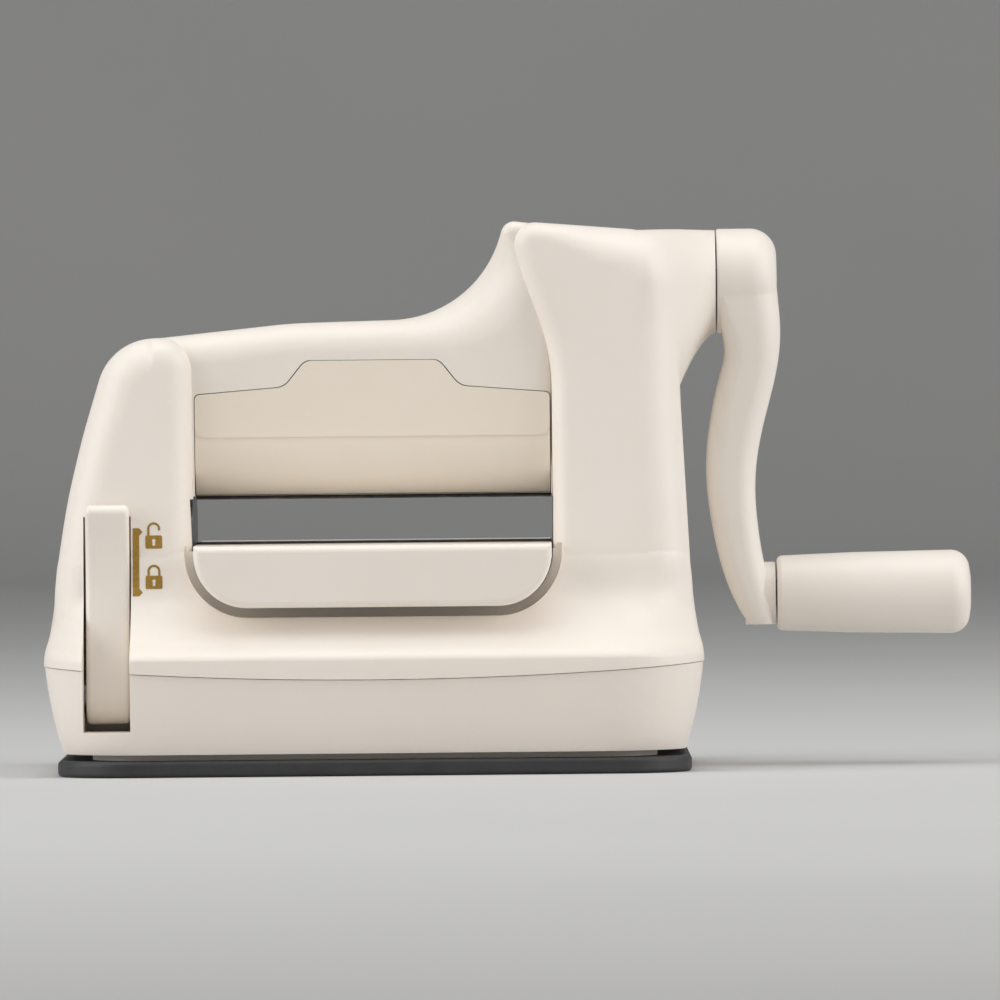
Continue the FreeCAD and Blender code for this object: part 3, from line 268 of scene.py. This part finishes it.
@dataclass(frozen=True)
class WorkedMetal:
    """Metal with the fine lines that rolling or turning leaves, along one axis."""

    name: str
    colour: tuple[int, int, int]
    shade: tuple[int, int, int]
    roughness: float
    stretch: tuple[float, float, float]
    lines_per_metre: float = 900.0
    line_depth: float = 0.01 * MM
    line_strength: float = 0.35
    sheens_per_metre: float = 300.0

    def material(self) -> bpy.types.Material:
        """Makes the finish.

        Returns:
            Its material.
        """
        sheet = NodeSheet(self.name)
        lines = sheet.noise(self.lines_per_metre, 4.0, self.stretch)
        sheet.tint(sheet.spread(lines, 0.0, 1.0), linear(*self.colour), linear(*self.shade))
        sheen = sheet.noise(self.sheens_per_metre, 3.0)
        rough = sheet.spread(sheen, self.roughness - 0.07, self.roughness + 0.09)
        sheet.join(rough, sheet.shader.inputs["Roughness"])
        sheet.relief(lines, self.line_depth, self.line_strength)
        sheet.set(Metallic=1.0)
        return sheet.material


@dataclass(frozen=True)
class FoilPrint:
    """Hot-stamped foil, a warm metallic print with a slightly worn sheen."""

    name: str
    colour: tuple[int, int, int]
    worn: tuple[int, int, int]
    roughness: float = 0.36
    metallic: float = 0.55
    wear_per_metre: float = 1400.0
    sheens_per_metre: float = 900.0
    specks_per_metre: float = 5200.0
    speck_depth: float = 0.006 * MM
    speck_strength: float = 0.4

    def material(self) -> bpy.types.Material:
        """Makes the finish.

        Returns:
            Its material.
        """
        sheet = NodeSheet(self.name)
        wear = sheet.spread(sheet.noise(self.wear_per_metre, 4.0), 0.0, 1.0)
        sheet.tint(wear, linear(*self.colour), linear(*self.worn))
        sheen = sheet.noise(self.sheens_per_metre, 3.0)
        rough = sheet.spread(sheen, self.roughness - 0.08, self.roughness + 0.10)
        sheet.join(rough, sheet.shader.inputs["Roughness"])
        sheet.relief(sheet.noise(self.specks_per_metre, 2.0), self.speck_depth, self.speck_strength)
        sheet.set(Metallic=self.metallic)
        return sheet.material


Finish = MouldedPlastic | SoftRubber | WorkedMetal | FoilPrint

IVORY = MouldedPlastic("ivory_plastic", (246, 239, 230), (243, 235, 225))
GUARD_IVORY = MouldedPlastic("guard_plastic", (246, 236, 222), (243, 232, 216))
PAD_RUBBER = SoftRubber("pad_rubber", (48, 48, 50), (58, 58, 60))
SHEET_STEEL = WorkedMetal("sheet_steel", (150, 151, 154), (128, 129, 133), 0.36, (0.15, 1.0, 1.0))
BRIGHT_ZINC = WorkedMetal("bright_zinc", (205, 206, 208), (184, 186, 190), 0.28, (1.0, 1.0, 1.0))
BUSH_BRONZE = WorkedMetal("bush_bronze", (196, 158, 102), (170, 132, 80), 0.42, (1.0, 1.0, 1.0))
DARK_ROLLER = WorkedMetal("dark_roller", (74, 73, 73), (56, 56, 57), 0.34, (1.0, 0.05, 0.05), 2400.0)
OILED_GEAR = WorkedMetal("oiled_gear", (132, 132, 136), (108, 108, 113), 0.33, (1.0, 0.3, 0.3))
GOLD_FOIL = FoilPrint("gold_foil", (196, 158, 78), (178, 140, 62))
FINISHES: tuple[Finish, ...] = (IVORY, GUARD_IVORY, PAD_RUBBER, SHEET_STEEL, BRIGHT_ZINC, BUSH_BRONZE,
                                DARK_ROLLER, OILED_GEAR, GOLD_FOIL)


def clear_choice() -> None:
    """Leaves edit mode and deselects everything."""
    if bpy.context.object and bpy.context.object.mode != "OBJECT":
        bpy.ops.object.mode_set(mode="OBJECT")
    bpy.ops.object.select_all(action="DESELECT")


def choose(piece: bpy.types.Object) -> None:
    """Makes a piece the only selected and active object.

    Args:
        piece: the object.
    """
    clear_choice()
    piece.select_set(True)
    bpy.context.view_layer.objects.active = piece


def dress(piece: bpy.types.Object, material: bpy.types.Material) -> None:
    """Gives a piece one material in place of those it has."""
    piece.data.materials.clear()
    piece.data.materials.append(material)


def settle(piece: bpy.types.Object) -> None:
    """Moves a piece's place into its mesh, so that its object sits at the origin."""
    choose(piece)
    bpy.ops.object.transform_apply(location=True, rotation=True, scale=True)


def skin_of(node: str) -> bpy.types.Object:
    """Makes a joined-up skin that stands for a frame node.

    Args:
        node: the node's name.

    Returns:
        The skin, riding on the node's body.
    """
    source = frame["nodes"][node]
    body = source["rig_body"]
    choose(source)
    bpy.ops.object.duplicate()
    skin = bpy.context.view_layer.objects.active
    skin.name = f"{node}_skin"
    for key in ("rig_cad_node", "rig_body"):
        del skin[key]
    edit(skin)
    bpy.ops.mesh.select_all(action="SELECT")
    bpy.ops.mesh.remove_doubles(threshold=MERGE_WITHIN)
    leave_edit()
    skin.parent = None
    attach(skin, body)
    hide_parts(node)
    return skin


def smooth(piece: bpy.types.Object, edge: Edge) -> None:
    """Shades a skin smooth, so that its flat faces stay flat up to their rounded rims.

    Args:
        piece: the skin.
        edge: which edges stay sharp.
    """
    choose(piece)
    bpy.ops.mesh.customdata_custom_splitnormals_clear()
    edit(piece)
    bpy.ops.mesh.select_all(action="SELECT")
    bpy.ops.mesh.mark_sharp(clear=True)
    bpy.ops.mesh.select_all(action="DESELECT")
    bpy.ops.mesh.edges_select_sharp(sharpness=math.radians(edge.value))
    bpy.ops.mesh.mark_sharp()
    leave_edit()
    bpy.ops.object.shade_smooth(keep_sharp_edges=True)
    apply_modifier(piece, "WEIGHTED_NORMAL", mode="FACE_AREA", keep_sharp=True)


def unpick(piece: bpy.types.Object) -> None:
    """Deselects all of a mesh, from object mode.

    Args:
        piece: the mesh's object.
    """
    mesh = piece.data
    for part in (mesh.vertices, mesh.edges, mesh.polygons):
        part.foreach_set("select", [False] * len(part))


def faces_of(piece: bpy.types.Object, test: Callable[[bpy.types.MeshPolygon], bool]) -> None:
    """Selects some faces of a mesh, and only those, from object mode.

    Args:
        piece: the mesh's object.
        test: says whether a face is selected.
    """
    unpick(piece)
    for face in piece.data.polygons:
        face.select = test(face)


def edges_of(piece: bpy.types.Object, test: Callable[[Vector, Vector], bool]) -> None:
    """Selects some edges of a mesh, and only those, from object mode.

    Args:
        piece: the mesh's object.
        test: says by an edge's two ends whether it is selected.
    """
    unpick(piece)
    mesh = piece.data
    for edge in mesh.edges:
        edge.select = test(*(mesh.vertices[v].co for v in edge.vertices))


def edit(piece: bpy.types.Object, mode: str = "EDGE") -> None:
    """Enters edit mode with what object mode selected.

    Args:
        piece: the object.
        mode: what is picked there, VERT, EDGE or FACE.
    """
    bpy.context.view_layer.objects.active = piece
    bpy.ops.object.mode_set(mode="EDIT")
    bpy.ops.mesh.select_mode(type=mode)


def leave_edit() -> None:
    """Goes back to object mode."""
    bpy.ops.object.mode_set(mode="OBJECT")


def apply_modifier(piece: bpy.types.Object, kind: str, **settings: object) -> None:
    """Adds a modifier, sets it up and applies it.

    Args:
        piece: the object that gets it.
        kind: the modifier's type.
        settings: its properties.
    """
    choose(piece)
    modifier = piece.modifiers.new(kind.lower(), kind)
    for name, value in settings.items():
        setattr(modifier, name, value)
    bpy.ops.object.modifier_apply(modifier=modifier.name)


def join(pieces: list[bpy.types.Object], name: str) -> bpy.types.Object:
    """Joins pieces into one object.

    Args:
        pieces: the pieces, of which the first takes in the others.
        name: the whole's name.

    Returns:
        The whole.
    """
    choose(pieces[0])
    for piece in pieces:
        piece.select_set(True)
    bpy.ops.object.join()
    whole = bpy.context.view_layer.objects.active
    whole.name = name
    return whole


def remove(piece: bpy.types.Object) -> None:
    """Deletes a piece that was only a tool."""
    bpy.data.objects.remove(piece, do_unlink=True)


@dataclass
class PrintedMarks:
    """Foil marks beside the lever: a double arrow along its slot and an open and a closed padlock."""

    material: bpy.types.Material
    ground: bpy.types.Object
    before: float = -60 * MM
    film: float = 0.05 * MM
    lift: float = 0.03 * MM
    arrow_left: float = -53.85 * MM
    arrow_right: float = -52.4 * MM
    arrow_low: float = 40.2 * MM
    arrow_high: float = 55.4 * MM
    arrow_cuts: int = 6
    barb_out: float = 0.75 * MM
    barb_high: float = 1.7 * MM
    barb_tip: float = 0.45
    lock_left: float = -51.0 * MM
    lock_width: float = 3.75 * MM
    lock_high: float = 2.95 * MM
    lock_corner: float = 0.32 * MM
    corner_steps: int = 5
    bow_width: float = 2.9 * MM
    bow_stroke: float = 0.5 * MM
    bow_steps: int = 18
    bow_overlap: float = 0.05 * MM
    closed_low: float = 41.8 * MM
    closed_leg: float = 1.05 * MM
    open_low: float = 50.8 * MM
    open_leg: float = 1.55 * MM
    open_short_leg: float = 0.35 * MM
    eye_radius: float = 0.42 * MM
    eye_sides: int = 24
    eye_high: float = 0.6
    keyway_width: float = 0.62 * MM
    keyway_high: float = 1.1 * MM
    cutter_middle: float = -35 * MM
    cutter_deep: float = 40 * MM

    def panel(self, low: Vector, high: Vector, cuts: int = 0) -> bpy.types.Object:
        """A flat upright rectangle between two corners, in front of the shell.

        Args:
            low: its lower left corner as X and Z.
            high: its upper right corner as X and Z.
            cuts: how many times it is divided.

        Returns:
            The new object, with its place in its mesh.
        """
        clear_choice()
        middle = (low + high) / 2
        bpy.ops.mesh.primitive_plane_add(size=1, location=(middle.x, self.before, middle.y),
                                         rotation=(math.radians(90), 0, 0))
        panel = bpy.context.object
        panel.scale = (high.x - low.x, high.y - low.y, 1)
        settle(panel)
        if cuts:
            edit(panel)
            bpy.ops.mesh.select_all(action="SELECT")
            bpy.ops.mesh.subdivide(number_cuts=cuts)
            leave_edit()
        return panel

    def print_on(self, mark: bpy.types.Object, hole: bpy.types.Object | None = None) -> None:
        """Lays a flat mark on the shell as a thin film.

        Args:
            mark: the flat mark, in front of the shell.
            hole: a cutter for a hole through it, if it has one.
        """
        apply_modifier(mark, "SHRINKWRAP", target=self.ground, wrap_method="PROJECT", use_project_y=True,
                       use_positive_direction=True, use_negative_direction=False, offset=self.lift)
        apply_modifier(mark, "SOLIDIFY", thickness=self.film, offset=0.0)
        if hole:
            apply_modifier(mark, "BOOLEAN", object=hole, operation="DIFFERENCE", solver="EXACT")
            remove(hole)
        dress(mark, self.material)
        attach(mark, MARKED_BODY)
        LOG.info("mark: %s", mark.name)

    def arrow(self) -> None:
        """The double arrow, of which the half outside the slot is printed."""
        bar = self.panel(Vector((self.arrow_left, self.arrow_low)),
                         Vector((self.arrow_right, self.arrow_high)), self.arrow_cuts)
        parts = [bar]
        ends = ((self.arrow_low, 1), (self.arrow_high, -1))
        for end, inward in ends:
            low = Vector((self.arrow_right, min(end, end + inward * self.barb_high)))
            high = Vector((self.arrow_right + self.barb_out, max(end, end + inward * self.barb_high)))
            barb = self.panel(low, high)
            tip = end + inward * self.barb_high * self.barb_tip
            edges_of(barb, lambda a, b: min(a.x, b.x) > self.arrow_right + 0.5 * self.barb_out)
            edit(barb)
            bpy.ops.mesh.merge(type="CENTER")
            bpy.ops.transform.translate(value=(0, 0, tip - (low.y + high.y) / 2))
            leave_edit()
            parts.append(barb)
        self.print_on(join(parts, "mark_arrow"))

    def bow(self, low: float, leg: float, short_leg: float) -> bpy.types.Object:
        """A padlock's bow: a leg, a half turn and a second leg.

        Args:
            low: the height where it leaves the lock's body.
            leg: the first leg's length.
            short_leg: the second leg's length.

        Returns:
            The flat bow.
        """
        centre = self.lock_left + self.lock_width / 2
        left = centre - self.bow_width / 2
        bow = self.panel(Vector((left, low)), Vector((left + self.bow_stroke, low + leg)), 1)
        top = low + leg
        edges_of(bow, lambda a, b: min(a.z, b.z) > top - MERGE_WITHIN)
        edit(bow)
        bpy.ops.mesh.spin(steps=self.bow_steps, angle=math.pi, center=(centre, self.before, top),
                          axis=(0, -1, 0))
        bpy.ops.mesh.extrude_region_move(TRANSFORM_OT_translate={"value": (0, 0, -short_leg)})
        bpy.ops.mesh.select_all(action="SELECT")
        bpy.ops.mesh.remove_doubles(threshold=MERGE_WITHIN)
        bpy.ops.mesh.normals_make_consistent(inside=False)
        leave_edit()
        return bow

    def keyhole(self, low: float) -> bpy.types.Object:
        """A cutter for a padlock's keyhole: a round eye over a straight keyway.

        Args:
            low: the height of the padlock's lower edge.

        Returns:
            The cutter.
        """
        centre = self.lock_left + self.lock_width / 2
        eye_high = low + self.eye_high * self.lock_high
        clear_choice()
        bpy.ops.mesh.primitive_cylinder_add(vertices=self.eye_sides, radius=self.eye_radius,
                                            depth=self.cutter_deep,
                                            location=(centre, self.cutter_middle, eye_high),
                                            rotation=(math.radians(90), 0, 0))
        eye = bpy.context.object
        settle(eye)
        clear_choice()
        keyway_middle = eye_high - self.keyway_high / 2
        bpy.ops.mesh.primitive_cube_add(size=1, location=(centre, self.cutter_middle, keyway_middle))
        keyway = bpy.context.object
        keyway.scale = (self.keyway_width, self.cutter_deep, self.keyway_high)
        settle(keyway)
        apply_modifier(keyway, "BOOLEAN", object=eye, operation="UNION", solver="EXACT")
        remove(eye)
        return keyway

    def padlock(self, name: str, low: float, leg: float, short_leg: float) -> None:
        """Prints a padlock: a rounded body with a keyhole, and its bow.

        Args:
            name: the start of its two pieces' names.
            low: the height of its lower edge.
            leg: the length of the bow's first leg.
            short_leg: the length of the bow's second leg.
        """
        body = self.panel(Vector((self.lock_left, low)),
                          Vector((self.lock_left + self.lock_width, low + self.lock_high)))
        edit(body, "VERT")
        bpy.ops.mesh.select_all(action="SELECT")
        bpy.ops.mesh.bevel(offset=self.lock_corner, segments=self.corner_steps, affect="VERTICES")
        leave_edit()
        top = low + self.lock_high - self.bow_overlap
        self.print_on(body, self.keyhole(low))
        body.name = f"{name}_body"
        bow = self.bow(top, leg, short_leg)
        bow.name = f"{name}_bow"
        self.print_on(bow)

    def build(self) -> None:
        """Prints all the marks."""
        self.arrow()
        self.padlock("mark_closed_lock", self.closed_low, self.closed_leg, self.closed_leg)
        self.padlock("mark_open_lock", self.open_low, self.open_leg, self.open_short_leg)


@dataclass
class CrossHead:
    """The cross recess in a screw's head."""

    reach: float = 1.9 * MM
    width: float = 0.75 * MM
    depth: float = 1.1 * MM
    tip_length: float = 0.45
    tip_width: float = 0.7
    turned: float = 20.0

    def cutter(self, place: Vector, axis: int) -> bpy.types.Object:
        """A cross of two tapered bars, sunk into a head.

        Args:
            place: the middle of the head's outer face.
            axis: 0 for a head that faces +X, 1 for +Y.

        Returns:
            The cutter.
        """
        bars = []
        for quarter in (0, 1):
            clear_choice()
            bpy.ops.mesh.primitive_cube_add(size=1)
            bar = bpy.context.object
            bar.scale = (2 * self.reach, self.width, 2 * self.depth)
            settle(bar)
            faces_of(bar, lambda face: face.normal.z < -0.5)
            edit(bar, "FACE")
            bpy.ops.transform.resize(value=(self.tip_length, self.tip_width, 1))
            leave_edit()
            bar.rotation_euler = (0, 0, quarter * math.pi / 2)
            settle(bar)
            bars.append(bar)
        apply_modifier(bars[0], "BOOLEAN", object=bars[1], operation="UNION", solver="EXACT")
        remove(bars[1])
        cross = bars[0]
        toward = Vector((1, 0, 0)) if axis == 0 else Vector((0, 1, 0))
        cross.rotation_mode = "QUATERNION"
        turn = Quaternion((0, 0, 1), math.radians(self.turned))
        cross.rotation_quaternion = toward.to_track_quat("Z", "Y") @ turn
        cross.location = place
        settle(cross)
        return cross

    def cut(self, screws: bpy.types.Object, axis: int) -> bpy.types.Object:
        """Cuts a recess into each screw of a piece whose heads face the positive axis.

        Args:
            screws: one or more screws in one object.
            axis: 0 for heads that face +X, 1 for +Y.

        Returns:
            The same screws, in one object of the same name.
        """
        name = screws.name
        choose(screws)
        edit(screws)
        bpy.ops.mesh.select_all(action="SELECT")
        bpy.ops.mesh.separate(type="LOOSE")
        leave_edit()
        single = list(bpy.context.selected_objects)
        for screw in single:
            corners = [Vector(corner) for corner in screw.bound_box]
            low = Vector(map(min, *corners))
            high = Vector(map(max, *corners))
            place = (low + high) / 2
            place[axis] = high[axis]
            cross = self.cutter(place, axis)
            apply_modifier(screw, "BOOLEAN", object=cross, operation="DIFFERENCE", solver="EXACT")
            remove(cross)
        return join(single, name)


@dataclass
class ShellMend:
    """Mends a shell's skin: closes the break in the roof's rim and brings the crank flare's end flush.

    The break is where the frame's rim cuts into the hollow behind it, and the flare's end stands proud of
    the column that it starts from.
    """

    skin: bpy.types.Object
    break_low: Vector = field(default_factory=lambda: Vector((17.0, 16.0, 101.0)) * MM)
    break_high: Vector = field(default_factory=lambda: Vector((31.5, 22.0, 119.0)) * MM)
    knife_edge: float = 105.0
    patch_cuts: int = 3
    lining: float = 0.6 * MM
    flare_end: float = 56.0 * MM
    flare_blend: float = 8.0 * MM
    flare_low: float = 90.0 * MM
    flare_high: float = 121.0 * MM
    flare_deep: float = 21.5 * MM
    near: float = 0.03 * MM
    side: float = field(init=False)

    def __post_init__(self) -> None:
        """Notes whether the shell lies in front (-1) or behind (1)."""
        self.side = math.copysign(1.0, sum(corner[1] for corner in self.skin.bound_box))

    def at_break(self, place: Vector) -> bool:
        """Whether a place lies around the break in the roof's rim."""
        folded = (place.x, abs(place.y), place.z)
        return all(low < value < high for low, value, high in zip(self.break_low, folded, self.break_high))

    def pick(self, keys: set[Key]) -> None:
        """Selects edges around the break, and only those.

        Args:
            keys: the edges to choose from.
        """
        unpick(self.skin)
        mesh = self.skin.data
        for edge in mesh.edges:
            edge.select = edge.key in keys and all(self.at_break(mesh.vertices[v].co) for v in edge.vertices)

    def open_edges(self, facing: float) -> set[Key]:
        """Finds the open edges of one sheet of the shell.

        Args:
            facing: 1 for the outer sheet, -1 for the inner one.

        Returns:
            The keys of the edges that have one face, turned that way.
        """
        outward = Vector((0, self.side, 1))
        sheets: dict[Key, list[float]] = {}
        for face in self.skin.data.polygons:
            for key in face.edge_keys:
                sheets.setdefault(key, []).append(facing * face.normal.dot(outward))
        return {key for key, turns in sheets.items() if len(turns) == 1 and turns[0] > 0}

    def close_break(self) -> None:
        """Parts the outer sheet from the inner one along the break's thin edge and closes both."""
        choose(self.skin)
        edit(self.skin)
        bpy.ops.mesh.select_all(action="DESELECT")
        bpy.ops.mesh.edges_select_sharp(sharpness=math.radians(self.knife_edge))
        leave_edit()
        self.pick({edge.key for edge in self.skin.data.edges if edge.select})
        if not any(edge.select for edge in self.skin.data.edges):
            LOG.info("no break in %s", self.skin.name)
            return
        edit(self.skin)
        bpy.ops.mesh.edge_split(type="EDGE")
        leave_edit()
        self.pick(self.open_edges(1))
        edit(self.skin)
        bpy.ops.mesh.fill(use_beauty=True)
        bpy.ops.mesh.subdivide(number_cuts=self.patch_cuts, smoothness=1.0)
        leave_edit()
        self.pick(self.open_edges(-1))
        edit(self.skin)
        bpy.ops.mesh.fill(use_beauty=True)
        bpy.ops.transform.translate(value=Vector((0, -self.side, -1)) * self.lining)
        bpy.ops.mesh.select_all(action="SELECT")
        bpy.ops.mesh.normals_make_consistent(inside=False)
        leave_edit()

    def ease_flare(self) -> None:
        """Brings the flare's end down to the column, and the flare behind it ever less."""
        mesh = self.skin.data
        flare: set[int] = set()
        column: set[int] = set()
        for face in mesh.polygons:
            if face.normal.y * self.side <= 0:
                continue
            across = [mesh.vertices[v].co.x - self.flare_end for v in face.vertices]
            if min(across) > -self.near and max(across) > self.near:
                flare.update(face.vertices)
            elif max(across) < self.near and min(across) < -self.near:
                column.update(face.vertices)
        flare -= column

        def outline(group: set[int]) -> list[tuple[float, float]]:
            """Lists a group's vertices at the flare's end.

            Args:
                group: the vertices' indices.

            Returns:
                Their heights and depths, from low to high.
            """
            places = [mesh.vertices[index].co for index in group]
            return sorted((p.z, abs(p.y)) for p in places if abs(p.x - self.flare_end) < self.near
                          and self.flare_low < p.z < self.flare_high and abs(p.y) > self.flare_deep)

        flush = outline(column)
        if not flush:
            LOG.info("no step in %s", self.skin.name)
            return
        proud = flush[:1] + outline(flare) + flush[-1:]
        for index in flare:
            place = mesh.vertices[index].co
            share = (place.x - self.flare_end) / self.flare_blend
            if share < 1 and self.flare_low < place.z < self.flare_high:
                step = np.interp(place.z, *zip(*proud)) - np.interp(place.z, *zip(*flush))
                place.y -= self.side * step * (1 - share * share * (3 - 2 * share))

    def mend(self) -> None:
        """Makes both mends."""
        self.close_break()
        self.ease_flare()
        LOG.info("mended: %s", self.skin.name)


@dataclass
class Dressed:
    """A sub-assembly whose frame nodes show as they are or as smooth skins."""

    finishes: dict[str, Finish]
    skins: tuple[str, ...] = ()
    edge: Edge = Edge.MOULDED
    cross_heads: dict[str, int] = field(default_factory=dict)

    def build(self, materials: dict[str, bpy.types.Material]) -> None:
        """Dresses every node of the sub-assembly.

        Args:
            materials: the made materials by finish name.
        """
        for node, finish in self.finishes.items():
            material = materials[finish.name]
            piece = skin_of(node) if node in self.skins else frame["nodes"][node]
            if node in SHELLS:
                ShellMend(piece).mend()
            if node in self.cross_heads:
                piece = CrossHead().cut(piece, self.cross_heads[node])
            if node in self.skins:
                smooth(piece, self.edge)
            dress(piece, material)
            LOG.info("%s: %s", node, finish.name)


@dataclass(frozen=True)
class SoftBox:
    """A soft rectangular lamp: its place, its width and height, its power and its colour on a screen."""

    name: str
    place: tuple[float, float, float]
    size: tuple[float, float]
    watts: float
    tint: tuple[int, int, int] = WHITE_LIGHT


SOFT_BOXES = (
    SoftBox("left_box", (-1.1, -0.35, 0.6), (0.9, 1.2), 7.8),
    SoftBox("right_box", (1.2, -0.3, 0.6), (0.9, 1.2), 8.1),
    SoftBox("top_box", (0.0, -0.15, 1.3), (1.4, 1.0), 8.2),
    SoftBox("left_fill", (-1.6, -1.5, 0.6), (1.0, 1.2), 3.7, WARM_LIGHT),
    SoftBox("right_fill", (1.6, -1.5, 0.6), (1.0, 1.2), 3.7, WARM_LIGHT),
)


@dataclass
class Studio:
    """A pale sweep, soft lamps and the camera."""

    sweep_half: float = 3.0
    sweep_high: float = 2.6
    sweep_bend: float = 0.7
    bend_steps: int = 16
    sweep_colour: tuple[int, int, int] = (206, 206, 205)
    sweep_cloud: tuple[int, int, int] = (202, 202, 202)
    sweep_clouds_per_metre: float = 3.0
    sweep_roughness: float = 0.8
    air_colour: tuple[int, int, int] = (235, 235, 235)
    air_strength: float = 0.30
    target: Vector = field(default_factory=lambda: Vector((28.55 * MM, -35.0 * MM, 61.0 * MM)))
    lit: Vector = field(default_factory=lambda: Vector((0.0, 0.0, 60.0 * MM)))
    distance: float = 2.7
    elevation: float = 0.7
    roll: float = -0.55
    view_width: float = 223.8 * MM
    sensor: float = 36.0
    clip_start: float = 0.1
    clip_end: float = 30.0

    def floor(self) -> None:
        """Makes the floor, bent up at the back into a backdrop."""
        clear_choice()
        bpy.ops.mesh.primitive_plane_add(size=2 * self.sweep_half)
        floor = bpy.context.object
        floor.name = "sweep"
        edges_of(floor, lambda a, b: min(a.y, b.y) > 0)
        edit(floor)
        bpy.ops.mesh.extrude_region_move(TRANSFORM_OT_translate={"value": (0, 0, self.sweep_high)})
        leave_edit()
        edges_of(floor, lambda a, b: min(a.y, b.y) > 0 and max(a.z, b.z) < self.sweep_bend)
        edit(floor)
        bpy.ops.mesh.bevel(offset=self.sweep_bend, segments=self.bend_steps, affect="EDGES")
        leave_edit()
        bpy.ops.object.shade_smooth()
        sheet = NodeSheet("pale_sweep")
        clouds = sheet.spread(sheet.noise(self.sweep_clouds_per_metre), 0.0, 1.0)
        sheet.tint(clouds, linear(*self.sweep_colour), linear(*self.sweep_cloud))
        sheet.set(Roughness=self.sweep_roughness)
        dress(floor, sheet.material)
        settle(floor)

    def hang(self, box: SoftBox) -> None:
        """Hangs a soft box so that it faces the machine.

        Args:
            box: the lamp to hang.
        """
        clear_choice()
        bpy.ops.object.light_add(type="AREA", location=box.place)
        lamp = bpy.context.object
        lamp.name = box.name
        lamp.data.shape = "RECTANGLE"
        lamp.data.size, lamp.data.size_y = box.size
        lamp.data.energy = box.watts
        lamp.data.color = linear(*box.tint)[:3]
        lamp.rotation_euler = (self.lit - Vector(box.place)).to_track_quat("-Z", "Y").to_euler()

    def lights(self) -> None:
        """Hangs the soft boxes and sets the soft surroundings."""
        for box in SOFT_BOXES:
            self.hang(box)
        world = bpy.data.worlds.new("surroundings")
        bpy.context.scene.world = world
        world.use_nodes = True
        background = world.node_tree.nodes["Background"]
        background.inputs["Color"].default_value = linear(*self.air_colour)
        background.inputs["Strength"].default_value = self.air_strength

    def camera(self) -> None:
        """Sets up the camera in front of the machine, almost level and slightly rolled."""
        clear_choice()
        rise = math.radians(self.elevation)
        back = Vector((0, -math.cos(rise), math.sin(rise)))
        bpy.ops.object.camera_add(location=self.target + back * self.distance)
        camera = bpy.context.object
        camera.rotation_mode = "QUATERNION"
        turn = Quaternion((0, 0, 1), math.radians(self.roll))
        camera.rotation_quaternion = (-back).to_track_quat("-Z", "Y") @ turn
        camera.data.sensor_width = self.sensor
        camera.data.lens = self.sensor * self.distance / self.view_width
        camera.data.clip_start = self.clip_start
        camera.data.clip_end = self.clip_end
        bpy.context.scene.camera = camera

    def build(self) -> None:
        """Makes the whole studio."""
        self.floor()
        self.lights()
        self.camera()
        bpy.context.scene.view_settings.view_transform = "Standard"


def machine() -> list[Dressed]:
    """Lists the machine's sub-assemblies.

    Returns:
        The sub-assemblies, with the finish of each of their nodes.
    """
    moulded = ("front_shell", "rear_shell", "base_tub", "bottom_plate", "front_table", "rear_table")
    guards = ("front_guard", "rear_guard")
    housing = Dressed({**{node: IVORY for node in moulded}, **{node: GUARD_IVORY for node in guards}},
                      moulded + guards)
    rollers = ("upper_roller", "lower_roller")
    plates = ("left_side_plate", "right_side_plate")
    rods = tuple(f"{side}_{level}_tie_rod" for side in ("front", "rear") for level in ("top", "low"))
    bushes = tuple(f"{level}_{side}_bush" for level in ("upper", "lower") for side in ("left", "right"))
    roller_frame = Dressed({**{node: DARK_ROLLER for node in rollers},
                            **{node: SHEET_STEEL for node in plates + rods},
                            **{node: BUSH_BRONZE for node in bushes}}, rollers + plates + rods, Edge.TURNED)
    gears = ("lower_roller_gear", "upper_roller_gear", "crank_gear", "idler_gear")
    inner_steel = ("idler_axle", "idler_spacer", "gear_plate", "gear_plate_spacers")
    inner_screws = ("gear_plate_screws", "right_frame_screws", "left_frame_screws", "floor_screws",
                    "shell_screws")
    gear_train = Dressed({**{node: OILED_GEAR for node in gears},
                          **{node: SHEET_STEEL for node in inner_steel},
                          **{node: BRIGHT_ZINC for node in inner_screws}},
                         inner_screws, Edge.TURNED, {"shell_screws": 1})
    crank_plastic = ("crank_arm", "grip")
    crank = Dressed({**{node: IVORY for node in crank_plastic},
                     **{node: SHEET_STEEL for node in ("crank_shaft", "grip_pin")},
                     **{node: BRIGHT_ZINC for node in ("crank_clip", "crank_washer", "crank_screw")},
                     **{node: BUSH_BRONZE for node in ("crank_inner_bush", "crank_outer_bush")}},
                    crank_plastic + ("crank_washer", "crank_screw"), Edge.TURNED, {"crank_screw": 0})
    linkage = ("lever_shaft", "lever_bracket", "lift_bar", "lift_bar_bracket", "lift_bar_pin",
               "suction_stem", "stem_pin")
    suction = Dressed({"lever": IVORY, "suction_pad": PAD_RUBBER, **{node: SHEET_STEEL for node in linkage}},
                      ("lever", "suction_pad"))
    return [housing, roller_frame, gear_train, crank, suction]


def main() -> None:
    """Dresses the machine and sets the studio."""
    logging.basicConfig(level=logging.INFO)
    materials = {finish.name: finish.material() for finish in FINISHES}
    for assembly in machine():
        assembly.build(materials)
    PrintedMarks(materials[GOLD_FOIL.name], bpy.data.objects["front_shell_skin"]).build()
    Studio().build()


if __name__ == "__main__":
    main()
